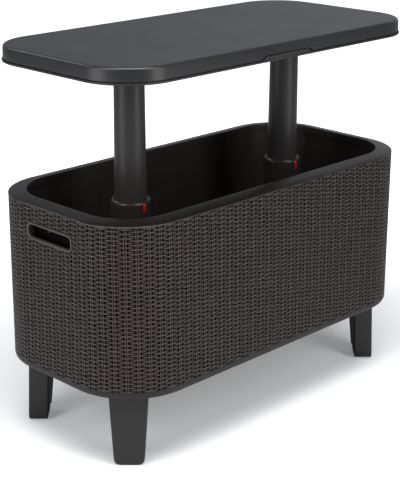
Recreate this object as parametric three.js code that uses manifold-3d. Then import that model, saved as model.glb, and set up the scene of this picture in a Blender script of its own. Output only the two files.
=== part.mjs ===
// Cooler table: a tub with a woven-look wall on four corner legs, and a table top that rises
// straight up on two poles to open the tub. Lengths are in millimetres. X runs along the table,
// Y runs to the back, Z runs up, and the origin is on the floor under the middle of the tub.
// The table top is drawn raised.

import * as THREE from 'three';
import { mergeVertices } from 'three/addons/utils/BufferGeometryUtils.js';
import Module from 'manifold-3d';

const wasm = await Module();
wasm.setup();

// Driving dimensions of the tub
const baseLength = 843;
const baseWidth = 409;
const baseCornerRadius = 132;
const endTaper = 7;
const sideTaper = 9;
const cornerTaper = 14;
const legHeight = 145;
const tubHeight = 338;
const bandHeight = 14;
const rimRise = 7.5;
const rimShelf = 31;
const openingCornerEase = 21;

// Walls and fits that several pieces share
const seatGap = 0.3;
const shellWall = 3;
const overrun = 5;
const weldTolerance = 0.0001;
const cornerSteps = 8;
const curveSteps = 3;
const roundSteps = 20;
const smallSteps = 10;
const screwSteps = 6;

// Shell ledge that carries the liner
const ledgeWidth = 5;
const ledgeThickness = 3;
const ledgeDrop = 6.5;

// Base pan
const panFloor = 4;
const panEdgeRadius = 6;
const panUpstand = 12;
const panWall = 3;

// Rim frame
const rimEdgeHeight = 1.2;
const rimEdgeRound = 1.2;
const rimThickness = 3.2;
const rimOuterSeat = 5;
const crestWidth = 3;
const crestRound = 0.8;
const crestDrop = 2.4;
const innerSkirtDrop = 15;
const innerSkirtWall = 2.5;

// Inner liner
const linerWall = 3;
const linerSetBack = 4;
const linerDraft = 8;
const linerFloorGap = 9;
const linerFloorRound = 8;
const linerFlange = 2.5;

// Legs
const legSetIn = 30;
const legSplay = 6.5;
const legHalfWidthTop = 37.6;
const legHalfWidthBottom = 28.6;
const legDepthTop = 39;
const legDepthBottom = 36;
const legWall = 4;
const legFootRadius = 13;
const legHeelRadius = 6;
const legToeRadius = 3;
const legEdgeChamfer = 2.5;
const legRibOffset = 18;
const legRibWall = 3;
const legRibDepthTop = 48;
const legRibDepthBottom = 41;
const legRibLift = 17;

// Screws
const screwShank = 4.4;
const screwHead = 9;
const screwHeadHeight = 2.6;
const screwTip = 2;
const screwClearance = 0.4;
const screwBoss = 11;
const legScrewLength = 14;
const legScrewInset = 10;
const legScrewPitch = 24;

// Handle slots in the two ends
const handleLength = 128;
const handleHeight = 33;
const handleRadius = 9;
const handleDrop = 54;
const handleLip = 3;
const handleLipProud = 1.4;
const handleCupWall = 2;
const handleCupDepth = 18;
const hookWidth = 10;
const hookHeight = 9;
const hookDepth = 4;
const hookOffset = 2;
const hookSetBack = 2;

// Lift poles and what guides them
const poleSpacing = 437;
const poleTopDiameter = 57.4;
const poleFootDiameter = 63;
const poleWall = 3.2;
const poleTopPlate = 4;
const poleFloorGap = 2.1;
const bushWall = 1.7;
const bushHeight = 28;
const bushLip = 3;
const slideClearance = 0.4;
const sleeveWall = 2.8;
const sleeveFlangeWidth = 12;
const sleeveFlangeHeight = 7;
const sleeveScrewInset = 5.5;
const sleeveScrewDepth = 5;
const gasketWidth = 4;
const gasketThickness = 1.5;

// Collars with their release buttons
const collarWall = 1.9;
const collarDrop = 22;
const collarLip = 3.5;
const collarShoulder = 4;
const collarSkirt = 32;
const collarBoreClearance = 0.6;
const buttonHeight = 18;
const buttonWidth = 8;
const buttonTravel = 2.2;
const buttonProud = 0.3;
const latchThickness = 2.4;
const latchRunningGap = 0.5;
const springLength = 24;
const springThickness = 0.5;
const springHeight = 2;

// Drain in the middle of the floor
const drainTube = 28;
const drainBore = 20;
const drainFlange = 44;
const drainFlangeHeight = 3;
const drainGasketHeight = 1.5;
const drainReach = 14;
const drainNutSize = 42;
const drainNutHeight = 6;
const drainCapWall = 3;
const drainCapGrip = 3;
const drainCapOverlap = 6;
const drainCapRibs = 8;
const nutSides = 6;

// Table top
const lidEndSetBack = 7;
const lidSideProud = 0.5;
const lidCornerEase = 15;
const lidThickness = 30.5;
const lidNest = 2;
const lipThickness = 4.5;
const lipRound = 1;
const lipProud = 2;
const lidWall = 3;
const lidTopWall = 3.5;
const lidEdgeRadius = 6;
const lidSkirtDraft = 0.6;
const lidUpstand = 8;
const lipWidth = 8;
const recessDepth = 3.2;
const plugEndGap = 5;
const plugSideGap = 4.5;
const plugDepth = 7.5;
const plugDraft = 1;
const socketWall = 3;
const socketDepth = 18;
const socketDrop = 5;
const lidBoss = 10;
const lidScrewEndInset = 52;
const lidScrewSideInset = 54.5;
const lidScrewLength = 16;
const poleScrewPitch = 30;
const poleScrewLength = 14;

// Finger pull in the front edge of the table top
const pullBottomWidth = 144;
const pullTopWidth = 124;
const pullHeight = 7.5;
const pullGap = 0.9;
const pullTabThickness = 3;
const pullTabInset = 0.7;

// Heights worked out from the dimensions above
const bandTop = legHeight + bandHeight;
const rimTop = legHeight + tubHeight;
const weaveTop = rimTop - rimRise;
const panFloorTop = legHeight + panFloor;
const linerFloorBottom = panFloorTop + linerFloorGap;
const linerFloorTop = linerFloorBottom + linerWall;
const ledgeTop = weaveTop - ledgeDrop;
const handleCentreHeight = rimTop - handleDrop;
const collarTopHeight = rimTop - collarDrop;
const cavityTop = collarTopHeight - collarLip;
const buttonTop = cavityTop - latchRunningGap;
const latchBottom = buttonTop - buttonHeight;
const sleeveTop = latchBottom - seatGap;
const bushTop = latchBottom - slideClearance;
const bushBottom = bushTop - bushHeight;
const liftTravel = bushBottom - linerFloorTop - poleFloorGap;
const lidBottomHeight = rimTop + liftTravel - lidNest;
const lidTopHeight = lidBottomHeight + lidThickness;
const skirtBottom = lidBottomHeight + lipThickness + seatGap;
const recessCeiling = lidBottomHeight + recessDepth;
const plugBottom = lidBottomHeight - plugDepth;
const plugFloorTop = plugBottom + lidWall;

// Outlines seen from above, each worked out from the one that it follows
const baseSize = { length: baseLength, width: baseWidth, radius: baseCornerRadius };
const rimSize = {
  length: baseSize.length - endTaper,
  width: baseSize.width - sideTaper,
  radius: baseSize.radius - cornerTaper,
};
const openingSize = {
  length: rimSize.length - 2 * rimShelf,
  width: rimSize.width - 2 * rimShelf,
  radius: rimSize.radius - openingCornerEase,
};
const lidSize = {
  length: rimSize.length - 2 * lidEndSetBack,
  width: rimSize.width + 2 * lidSideProud,
  radius: rimSize.radius - lidCornerEase,
};
const plugSize = {
  length: openingSize.length - 2 * plugEndGap,
  width: openingSize.width - 2 * plugSideGap,
  radius: openingSize.radius - plugEndGap,
};

function finish(color, roughness, metalness = 0) {
  return new THREE.MeshStandardMaterial({ color, roughness, metalness });
}

const finishes = {
  lid: () => finish(0x58595b, 0.5),
  lidUnder: () => finish(0x3c3a3a, 0.6),
  weave: () => finish(0x4a4442, 0.6),
  rim: () => finish(0x484443, 0.5),
  liner: () => finish(0x1e1917, 0.55),
  leg: () => finish(0x3d3c3c, 0.6),
  pole: () => finish(0x3a3432, 0.4),
  collar: () => finish(0x221e1d, 0.35),
  button: () => finish(0xc8201e, 0.3),
  steel: () => finish(0xb4b6b8, 0.35, 1),
  rubber: () => finish(0x161616, 0.9),
};

// Solids

function toSolid(geometry) {
  const plain = geometry.clone();
  plain.deleteAttribute('normal');
  plain.deleteAttribute('uv');
  const merged = mergeVertices(plain, weldTolerance);
  const corners = merged.index.array;
  const kept = [];
  for (let at = 0; at < corners.length; at += 3) {
    const [a, b, c] = [corners[at], corners[at + 1], corners[at + 2]];
    if (a !== b && b !== c && c !== a) kept.push(a, b, c);
  }
  const vertProperties = new Float32Array(merged.attributes.position.array);
  const triVerts = new Uint32Array(kept);
  return new wasm.Manifold(new wasm.Mesh({ numProp: 3, vertProperties, triVerts }));
}

function toGeometry(solid) {
  const mesh = solid.getMesh();
  const geometry = new THREE.BufferGeometry();
  geometry.setAttribute('position', new THREE.BufferAttribute(mesh.vertProperties, 3));
  geometry.setIndex(new THREE.BufferAttribute(mesh.triVerts, 1));
  geometry.computeVertexNormals();
  return geometry;
}

function joined(first, ...others) {
  return others.reduce((whole, piece) => whole.add(piece), first);
}

function cutBy(body, ...cutters) {
  return cutters.reduce((rest, cutter) => rest.subtract(cutter), body);
}

// Corners of a rounded rectangle, anticlockwise seen from above
function roundLoop(size, inset) {
  const radius = size.radius - inset;
  const reachX = size.length / 2 - size.radius;
  const reachY = size.width / 2 - size.radius;
  const points = [];
  for (let corner = 0; corner < 4; corner += 1) {
    const sideX = corner === 0 || corner === 3 ? 1 : -1;
    const sideY = corner < 2 ? 1 : -1;
    for (let step = 0; step <= cornerSteps; step += 1) {
      const angle = ((corner + step / cornerSteps) * Math.PI) / 2;
      const x = sideX * reachX + radius * Math.cos(angle);
      const y = sideY * reachY + radius * Math.sin(angle);
      points.push(new THREE.Vector2(x, y));
    }
  }
  return points;
}

function level(size, inset, height) {
  return { loop: roundLoop(size, inset), height };
}

// Skin carried through level after level: up outside, inward over the top and down inside.
// A skin that closes on itself is a ring, and any other one gets a flat floor at each end.
function lofted(levels, isRing = false) {
  const count = levels[0].loop.length;
  const positions = [];
  const index = [];
  for (const { loop, height } of levels) {
    for (const point of loop) positions.push(point.x, point.y, height);
  }
  const bands = isRing ? levels.length : levels.length - 1;
  for (let band = 0; band < bands; band += 1) {
    const from = band * count;
    const to = ((band + 1) % levels.length) * count;
    for (let at = 0; at < count; at += 1) {
      const next = (at + 1) % count;
      index.push(from + at, from + next, to + next);
      index.push(from + at, to + next, to + at);
    }
  }
  if (!isRing) {
    const last = levels.length - 1;
    const centre = positions.length / 3;
    positions.push(0, 0, levels[0].height, 0, 0, levels[last].height);
    for (let at = 0; at < count; at += 1) {
      const next = (at + 1) % count;
      index.push(centre, next, at);
      index.push(centre + 1, last * count + at, last * count + next);
    }
  }
  const geometry = new THREE.BufferGeometry();
  geometry.setAttribute('position', new THREE.Float32BufferAttribute(positions, 3));
  geometry.setIndex(index);
  return toSolid(geometry);
}

// Profile of [radius, height] pairs turned about the Z axis
function turned(profile, steps = roundSteps) {
  const points = profile.map(([radius, height]) => new THREE.Vector2(radius, height));
  return toSolid(new THREE.LatheGeometry(points, steps).rotateX(Math.PI / 2));
}

function tube(inner, outer, bottom, top, steps = roundSteps) {
  return turned([[inner, bottom], [outer, bottom], [outer, top], [inner, top], [inner, bottom]], steps);
}

function rod(radius, bottom, top, steps = smallSteps) {
  return turned([[0, bottom], [radius, bottom], [radius, top], [0, top]], steps);
}

function box(low, high) {
  const size = new THREE.Vector3().subVectors(high, low);
  const middle = new THREE.Vector3().addVectors(low, high).multiplyScalar(0.5);
  const geometry = new THREE.BoxGeometry(size.x, size.y, size.z);
  return toSolid(geometry.translate(middle.x, middle.y, middle.z));
}

function prism(shape, depth) {
  return new THREE.ExtrudeGeometry(shape, { depth, bevelEnabled: false, curveSegments: curveSteps });
}

// Screw with its head at the bottom and its tip up, the head's seat at height zero
function screw(length) {
  const head = screwHead / 2;
  const shank = screwShank / 2;
  return turned([
    [0, -screwHeadHeight],
    [head, -screwHeadHeight],
    [head, 0],
    [shank, 0],
    [shank, length - screwTip],
    [0, length],
  ], screwSteps);
}

function screwHole(bottom, top) {
  return rod(screwShank / 2 + screwClearance, bottom, top, screwSteps);
}

// Outline of the tub at a height: it widens a little from the rim to the base
function tubSize(height) {
  const share = (height - bandTop) / (weaveTop - bandTop);
  const mix = (low, high) => low + (high - low) * share;
  return {
    length: mix(baseSize.length, rimSize.length),
    width: mix(baseSize.width, rimSize.width),
    radius: mix(baseSize.radius, rimSize.radius),
  };
}

// Places that several pieces share

const legCentreX = baseLength / 2 - baseCornerRadius;
const legCentreY = baseWidth / 2 - baseCornerRadius;
const legFaceTop = baseCornerRadius - legSetIn;
const legFaceBottom = legFaceTop + legSplay;
const legPlaces = [
  { name: 'front_left', sideX: -1, sideY: -1 },
  { name: 'front_right', sideX: 1, sideY: -1 },
  { name: 'back_left', sideX: -1, sideY: 1 },
  { name: 'back_right', sideX: 1, sideY: 1 },
];
const legScrewReaches = [
  legFaceTop - legWall - legScrewInset,
  legFaceTop - legWall - legScrewInset - legScrewPitch,
];

function legTurn({ sideX, sideY }) {
  return Math.atan2(sideY, sideX);
}

function legScrewPoint(place, reach) {
  const turn = legTurn(place);
  const x = place.sideX * legCentreX + reach * Math.cos(turn);
  const y = place.sideY * legCentreY + reach * Math.sin(turn);
  return [x, y];
}

const poleFootRadius = poleFootDiameter / 2;
const poleTopRadius = poleTopDiameter / 2;
const bushRadius = poleFootRadius + seatGap + bushWall;
const sleeveBore = bushRadius + slideClearance;
const sleeveRadius = sleeveBore + sleeveWall;
const collarBore = sleeveRadius + seatGap;
const collarRadius = collarBore + collarWall;
const poleFootHeight = bushBottom + bushLip + seatGap;
const sleeveFlangeBottom = linerFloorTop + gasketThickness + 2 * seatGap;
const sleeveFlangeTop = sleeveFlangeBottom + sleeveFlangeHeight;
const sleeveFlangeRadius = sleeveRadius + sleeveFlangeWidth;
const sleeveScrewReach = sleeveFlangeRadius - sleeveScrewInset;
const socketFloor = plugBottom - socketDrop;
const socketRoof = socketFloor + socketDepth;
const poleTopHeight = socketRoof - seatGap;
const polePlaces = [
  { name: 'left', side: -1 },
  { name: 'right', side: 1 },
];

function poleX(side) {
  return (side * poleSpacing) / 2;
}

function poleRadiusAt(height) {
  const share = (height - poleFootHeight) / (poleTopHeight - poleFootHeight);
  return poleFootRadius + (poleTopRadius - poleFootRadius) * share;
}

function sleeveScrewPoints(side) {
  return [-sleeveScrewReach, sleeveScrewReach].map((reach) => [poleX(side) + reach, 0]);
}

const lidScrewX = plugSize.length / 2 - lidScrewEndInset;
const lidScrewY = plugSize.width / 2 - lidScrewSideInset;
const lidScrewPoints = [
  [-lidScrewX, -lidScrewY],
  [0, -lidScrewY],
  [lidScrewX, -lidScrewY],
  [-lidScrewX, lidScrewY],
  [0, lidScrewY],
  [lidScrewX, lidScrewY],
];

// Tub

// Rounded slot outline as seen along X, lying in Y and Z about its own middle
function slotShape(length, height, radius) {
  const shape = new THREE.Shape();
  const x = length / 2 - radius;
  const y = height / 2 - radius;
  shape.absarc(x, y, radius, 0, Math.PI / 2);
  shape.absarc(-x, y, radius, Math.PI / 2, Math.PI);
  shape.absarc(-x, -y, radius, Math.PI, 1.5 * Math.PI);
  shape.absarc(x, -y, radius, 1.5 * Math.PI, 2 * Math.PI);
  shape.closePath();
  return shape;
}

// The same outline made solid from one X to another, at the handles' height
function slotSolid(grow, from, to) {
  const length = handleLength + 2 * grow;
  const height = handleHeight + 2 * grow;
  const geometry = prism(slotShape(length, height, handleRadius + grow), to - from);
  geometry.rotateX(Math.PI / 2).rotateZ(Math.PI / 2);
  return toSolid(geometry.translate(from, 0, handleCentreHeight));
}

function turnedRound(solid) {
  return toSolid(toGeometry(solid).rotateZ(Math.PI));
}

const handleFace = tubSize(handleCentreHeight - handleHeight / 2).length / 2 + seatGap;

// The wall as one ring, before it is parted into its four panels
function wallRing() {
  const bottom = tubSize(bandTop);
  const ledge = tubSize(ledgeTop);
  const top = tubSize(weaveTop);
  return lofted([
    level(bottom, 0, bandTop + seatGap),
    level(top, 0, weaveTop - seatGap),
    level(top, shellWall, weaveTop - seatGap),
    level(ledge, shellWall, ledgeTop),
    level(ledge, shellWall + ledgeWidth, ledgeTop),
    level(ledge, shellWall + ledgeWidth, ledgeTop - ledgeThickness),
    level(ledge, shellWall, ledgeTop - ledgeThickness),
    level(bottom, shellWall, bandTop + seatGap),
  ], true);
}

// Wedge between the middles of two corners, with half the seam's gap left free on each side
function panelWedge(alongEnd, side) {
  const free = seatGap * Math.SQRT1_2;
  const near = alongEnd ? legCentreX : legCentreY;
  const half = (alongEnd ? legCentreY : legCentreX) - free;
  const far = baseCornerRadius + overrun;
  const corners = [[near, -half], [near + far, -half - far], [near + far, half + far], [near, half]];
  const shape = new THREE.Shape(corners.map(([out, across]) => {
    return alongEnd ? new THREE.Vector2(side * out, across) : new THREE.Vector2(across, side * out);
  }));
  return toSolid(prism(shape, tubHeight).translate(0, 0, legHeight));
}

function wallPanel(alongEnd, side) {
  const panel = wallRing().intersect(panelWedge(alongEnd, side));
  if (!alongEnd) return panel;
  const grow = seatGap - handleLip + handleCupWall;
  const window = slotSolid(grow, handleFace - shellWall - overrun, handleFace + overrun);
  return cutBy(panel, side < 0 ? turnedRound(window) : window);
}

function basePan() {
  const bottom = baseSize;
  const inside = shellWall + seatGap;
  const slope = panEdgeRadius * (1 - Math.SQRT1_2);
  const tray = lofted([
    level(bottom, panEdgeRadius, legHeight),
    level(bottom, slope, legHeight + slope),
    level(bottom, 0, legHeight + panEdgeRadius),
    level(bottom, 0, bandTop),
    level(bottom, inside, bandTop),
    level(bottom, inside, bandTop + panUpstand),
    level(bottom, inside + panWall, bandTop + panUpstand),
    level(bottom, inside + panWall, panFloorTop),
  ]);
  const bosses = [];
  const drainHole = drainTube / 2 + screwClearance;
  const holes = [rod(drainHole, legHeight - overrun, panFloorTop + overrun, roundSteps)];
  for (const place of legPlaces) {
    for (const reach of legScrewReaches) {
      const [x, y] = legScrewPoint(place, reach);
      const top = legHeight - legWall + legScrewLength + screwTip;
      bosses.push(rod(screwBoss / 2, legHeight + seatGap, top).translate(x, y, 0));
      holes.push(screwHole(legHeight - overrun, top - screwTip / 2).translate(x, y, 0));
    }
  }
  for (const { side } of polePlaces) {
    for (const [x, y] of sleeveScrewPoints(side)) {
      const top = linerFloorBottom - seatGap;
      bosses.push(rod(screwBoss / 2, legHeight + seatGap, top).translate(x, y, 0));
      holes.push(screwHole(legHeight - overrun, top + overrun).translate(x, y, 0));
    }
  }
  return cutBy(joined(tray, ...bosses), ...holes);
}

function rimFrame() {
  return lofted([
    level(rimSize, 0, weaveTop),
    level(rimSize, 0, weaveTop + rimEdgeHeight),
    level(rimSize, rimEdgeRound, weaveTop + rimEdgeHeight + rimEdgeRound),
    level(openingSize, -crestWidth, rimTop),
    level(openingSize, -crestRound, rimTop - crestRound),
    level(openingSize, 0, rimTop - crestDrop),
    level(openingSize, 0, rimTop - innerSkirtDrop),
    level(openingSize, -innerSkirtWall, rimTop - innerSkirtDrop),
    level(openingSize, -innerSkirtWall, rimTop - rimThickness),
    level(rimSize, rimOuterSeat, weaveTop),
  ], true);
}

// The whole liner, before it is parted above the floor and across the middle
const linerSeam = linerFloorTop + linerFloorRound;

function innerLiner() {
  const flangeBottom = ledgeTop + seatGap;
  const flangeTop = flangeBottom + linerFlange;
  const flange = tubSize(flangeBottom);
  const floorInset = linerDraft - linerSetBack;
  const flangeInset = shellWall + 2 * seatGap;
  const shell = lofted([
    level(openingSize, floorInset + linerFloorRound - linerWall, linerFloorBottom),
    level(openingSize, floorInset - linerWall, linerFloorBottom + linerFloorRound),
    level(openingSize, -linerSetBack - linerWall, flangeBottom),
    level(flange, flangeInset, flangeBottom),
    level(flange, flangeInset, flangeTop),
    level(openingSize, -linerSetBack, flangeTop),
    level(openingSize, floorInset, linerFloorTop + linerFloorRound),
    level(openingSize, floorInset + linerFloorRound, linerFloorTop),
  ]);
  const low = linerFloorBottom - overrun;
  const high = linerFloorTop + overrun;
  const holes = [rod(drainTube / 2 + screwClearance, low, high, roundSteps)];
  for (const { side } of polePlaces) {
    for (const [x, y] of sleeveScrewPoints(side)) holes.push(screwHole(low, high).translate(x, y, 0));
  }
  return cutBy(shell, ...holes);
}

// The liner's floor with its rounded edge
function linerFloor() {
  const low = new THREE.Vector3(-baseSize.length, -baseSize.width, legHeight);
  const high = new THREE.Vector3(baseSize.length, baseSize.width, linerSeam - seatGap / 2);
  return innerLiner().intersect(box(low, high));
}

// One half of the liner's wall, from the middle of the tub to one end
function linerHalf(side) {
  const ends = [(side * seatGap) / 2, side * baseSize.length];
  const low = new THREE.Vector3(Math.min(...ends), -baseSize.width, linerSeam + seatGap / 2);
  const high = new THREE.Vector3(Math.max(...ends), baseSize.width, rimTop);
  return innerLiner().intersect(box(low, high));
}

// Finger cup behind a handle slot, facing +X, with a lip that lies on the woven wall
function handleCup() {
  const mouth = handleFace + handleLipProud;
  const rear = handleFace - handleCupDepth;
  const lip = slotSolid(0, handleFace, mouth);
  const walls = slotSolid(handleCupWall - handleLip, rear - handleCupWall, handleFace + seatGap);
  const pocket = slotSolid(-handleLip, rear, mouth + overrun);
  return cutBy(joined(lip, walls), pocket);
}

// Short hook under the top edge of the left slot
function cupHook() {
  const ceiling = handleCentreHeight + handleHeight / 2 - handleLip;
  const front = handleFace - hookSetBack;
  return box(
    new THREE.Vector3(front - hookDepth, -hookOffset - hookWidth / 2, ceiling - hookHeight),
    new THREE.Vector3(front, -hookOffset + hookWidth / 2, ceiling + handleCupWall / 2),
  );
}

// Leg outline seen from outside the corner: a trapezoid with round bottom corners
function legFrontShape(inset, bottom, top, footRadius) {
  const halfWidth = (height) => {
    const share = height / legHeight;
    return legHalfWidthBottom + (legHalfWidthTop - legHalfWidthBottom) * share - inset;
  };
  const shape = new THREE.Shape();
  shape.moveTo(-halfWidth(top), top);
  shape.lineTo(-halfWidth(bottom + footRadius), bottom + footRadius);
  shape.quadraticCurveTo(-halfWidth(bottom), bottom, footRadius - halfWidth(bottom), bottom);
  shape.lineTo(halfWidth(bottom) - footRadius, bottom);
  shape.quadraticCurveTo(halfWidth(bottom), bottom, halfWidth(bottom + footRadius), bottom + footRadius);
  shape.lineTo(halfWidth(top), top);
  shape.closePath();
  return shape;
}

// Leg outline seen from the side: outer face on the right, open side on the left
function legSideShape(faceInset, depthBottom, depthTop, bottom, top) {
  const mix = (low, high, height) => low + ((high - low) * height) / legHeight;
  const outside = (height) => mix(legFaceBottom, legFaceTop, height);
  const face = (height) => outside(height) - faceInset;
  const back = (height) => outside(height) - mix(depthBottom, depthTop, height);
  const shape = new THREE.Shape();
  shape.moveTo(back(top), top);
  shape.lineTo(back(bottom + legHeelRadius), bottom + legHeelRadius);
  shape.quadraticCurveTo(back(bottom), bottom, back(bottom) + legHeelRadius, bottom);
  shape.lineTo(face(bottom) - legToeRadius, bottom);
  shape.quadraticCurveTo(face(bottom), bottom, face(bottom + legToeRadius), bottom + legToeRadius);
  shape.lineTo(face(top), top);
  shape.closePath();
  return shape;
}

// A front outline carried along X, the way out of the corner
function alongX(shape, from, to) {
  const geometry = prism(shape, to - from);
  return toSolid(geometry.rotateX(Math.PI / 2).rotateZ(Math.PI / 2).translate(from, 0, 0));
}

// A side outline carried along Y
function alongY(shape, from, to) {
  return toSolid(prism(shape, to - from).rotateX(Math.PI / 2).translate(0, to, 0));
}

function leg() {
  const top = legHeight - seatGap;
  const reach = legHalfWidthTop + overrun;
  const far = legFaceBottom + overrun;
  const near = legFaceTop - legRibDepthTop - overrun;
  const front = alongX(legFrontShape(0, 0, top, legFootRadius), near, far);
  const side = alongY(legSideShape(0, legDepthBottom, legDepthTop, 0, top), -reach, reach);
  const hollowFront = alongX(legFrontShape(legWall, legWall, top - legWall, legFootRadius), near, far);
  const deep = legRibDepthTop + overrun;
  const hollowSide = alongY(legSideShape(legWall, deep, deep, legWall, top - legWall), -reach, reach);
  const shell = cutBy(front.intersect(side), hollowFront.intersect(hollowSide));
  const ribTop = top - legWall / 2;
  const ribShape = legSideShape(legWall / 2, legRibDepthBottom, legRibDepthTop, legRibLift, ribTop);
  const ribs = [-1, 1].map((hand) => {
    const middle = hand * legRibOffset;
    return alongY(ribShape, middle - legRibWall / 2, middle + legRibWall / 2);
  });
  const edges = [-1, 1].map((hand) => legEdgeCutter(hand, top));
  const hole = screwHole(top - legWall - overrun, top + overrun);
  const holes = legScrewReaches.map((at) => hole.translate(at, 0, 0));
  return cutBy(joined(shell, ...ribs), ...edges, ...holes);
}

// Takes the sharp upright edge off the leg's outer face: a bar set at 45 degrees along the edge
function legEdgeCutter(hand, top) {
  const rise = top + 2 * overrun;
  const size = 4 * legEdgeChamfer;
  const nudge = size / Math.SQRT2 / 2 - legEdgeChamfer / 2;
  const lean = Math.atan2(legHalfWidthTop - legHalfWidthBottom, legHeight);
  const back = Math.atan2(legFaceBottom - legFaceTop, legHeight);
  const cutter = new THREE.BoxGeometry(size, size, rise).rotateZ(Math.PI / 4);
  cutter.translate(0, 0, rise / 2 - overrun).rotateX(-hand * lean).rotateY(-back);
  return toSolid(cutter.translate(legFaceBottom + nudge, hand * (legHalfWidthBottom + nudge), 0));
}

// Guides, collars and buttons, each drawn about its own pole's axis

function poleSleeve() {
  const profile = [
    [sleeveBore, sleeveFlangeBottom],
    [sleeveFlangeRadius, sleeveFlangeBottom],
    [sleeveFlangeRadius, sleeveFlangeTop],
    [sleeveRadius, sleeveFlangeTop],
    [sleeveRadius, sleeveTop],
    [sleeveBore, sleeveTop],
    [sleeveBore, sleeveFlangeBottom],
  ];
  const holeTop = sleeveFlangeBottom + sleeveScrewDepth + screwClearance;
  const holes = [-1, 1].map((side) => {
    return screwHole(sleeveFlangeBottom - overrun, holeTop).translate(side * sleeveScrewReach, 0, 0);
  });
  return cutBy(turned(profile), ...holes);
}

function sleeveGasket() {
  const bottom = linerFloorTop + seatGap;
  const top = bottom + gasketThickness;
  return tube(sleeveRadius - gasketWidth / 2, sleeveRadius + gasketWidth / 2, bottom, top);
}

function collar() {
  const bore = poleFootRadius + collarBoreClearance;
  const bottom = sleeveTop - collarSkirt;
  const shoulder = collarShoulder * (1 - Math.SQRT1_2);
  const body = turned([
    [collarBore, bottom],
    [collarRadius, bottom],
    [collarRadius, collarTopHeight - collarShoulder],
    [collarRadius - shoulder, collarTopHeight - shoulder],
    [collarRadius - collarShoulder, collarTopHeight],
    [bore, collarTopHeight],
    [bore, cavityTop],
    [collarBore, cavityTop],
    [collarBore, bottom],
  ]);
  const gap = buttonWidth / 2 + seatGap;
  const window = box(
    new THREE.Vector3(-gap, -collarRadius - overrun, latchBottom - seatGap),
    new THREE.Vector3(gap, overrun - collarBore, buttonTop + seatGap),
  );
  return cutBy(body, window);
}

const latchRadius = collarBore - latchRunningGap;
const latchRear = latchRadius - buttonTravel - slideClearance;

// Flat ring round the pole: pushed to the back by the button, it frees the pole
function latchRing() {
  const poleRadius = poleRadiusAt(latchBottom);
  const rearEdge = poleRadius + slideClearance;
  const frontEdge = poleRadius + slideClearance + buttonTravel;
  const holeRadius = (rearEdge + frontEdge) / 2;
  const top = latchBottom + latchThickness;
  const disc = rod(latchRadius, latchBottom, top, roundSteps);
  const shifted = rod(latchRadius, latchBottom - overrun, top + overrun, roundSteps);
  const hole = rod(holeRadius, latchBottom - overrun, top + overrun, roundSteps);
  const ring = disc.intersect(shifted.translate(0, latchRear - latchRadius, 0));
  return cutBy(ring, hole.translate(0, rearEdge - holeRadius, 0));
}

// Push button in the collar's window, with a round front
function releaseButton() {
  const back = latchRadius + seatGap;
  const front = collarRadius + buttonTravel + buttonProud;
  const radius = buttonWidth / 2;
  const pill = prism(slotShape(buttonWidth, buttonHeight, radius), front - back);
  pill.rotateX(Math.PI / 2).translate(0, -back, latchBottom + buttonHeight / 2);
  const crown = rod(front, latchBottom - overrun, buttonTop + overrun, 3 * roundSteps);
  return toSolid(pill).intersect(crown);
}

// Flat leaf across the back of the collar, bent by the ring when the button is pushed
function latchSpring() {
  const front = latchRear + seatGap;
  const bottom = latchBottom + (latchThickness - springHeight) / 2;
  return box(
    new THREE.Vector3(-springLength / 2, front, bottom),
    new THREE.Vector3(springLength / 2, front + springThickness, bottom + springHeight),
  );
}

// Drain

const drainTubeRadius = drainTube / 2;
const drainBottom = legHeight - drainReach;

function drainFitting() {
  const flangeBottom = linerFloorTop + drainGasketHeight + 2 * seatGap;
  return turned([
    [drainBore / 2, drainBottom],
    [drainTubeRadius, drainBottom],
    [drainTubeRadius, flangeBottom],
    [drainFlange / 2, flangeBottom],
    [drainBore / 2, flangeBottom + drainFlangeHeight],
    [drainBore / 2, drainBottom],
  ]);
}

function drainGasket() {
  const bottom = linerFloorTop + seatGap;
  return tube(drainTubeRadius + seatGap, drainFlange / 2 - seatGap, bottom, bottom + drainGasketHeight);
}

function drainNut() {
  const top = legHeight - seatGap;
  const bottom = top - drainNutHeight;
  const blank = rod(drainNutSize / 2, bottom, top, nutSides);
  return cutBy(blank, rod(drainTubeRadius + seatGap, bottom - overrun, top + overrun, roundSteps));
}

// Cup-shaped cap with grip ribs, turned to free it
function drainCap() {
  const inner = drainTubeRadius + seatGap;
  const outer = inner + drainCapWall;
  const bottom = drainBottom - seatGap - drainCapWall;
  const top = drainBottom + drainCapOverlap;
  const cup = turned([
    [0, bottom],
    [outer, bottom],
    [outer, top],
    [inner, top],
    [inner, bottom + drainCapWall],
    [0, bottom + drainCapWall],
  ]);
  const ribs = [];
  for (let at = 0; at < drainCapRibs; at += 1) {
    const angle = (at * 2 * Math.PI) / drainCapRibs;
    const x = (outer + drainCapGrip / 4) * Math.cos(angle);
    const y = (outer + drainCapGrip / 4) * Math.sin(angle);
    ribs.push(rod(drainCapGrip / 2, bottom, top, screwSteps).translate(x, y, 0));
  }
  return joined(cup, ...ribs);
}

// Table top

// Trapezoid of the finger pull, seen from the front
function pullShape(grow) {
  const bottom = skirtBottom - overrun;
  const slope = (pullBottomWidth - pullTopWidth) / 2 / pullHeight;
  const top = skirtBottom + pullHeight + grow;
  const halfTop = pullTopWidth / 2 + grow;
  const halfBottom = halfTop + slope * (top - bottom);
  const shape = new THREE.Shape();
  shape.moveTo(-halfBottom, bottom);
  shape.lineTo(halfBottom, bottom);
  shape.lineTo(halfTop, top);
  shape.lineTo(-halfTop, top);
  shape.closePath();
  return shape;
}

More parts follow.
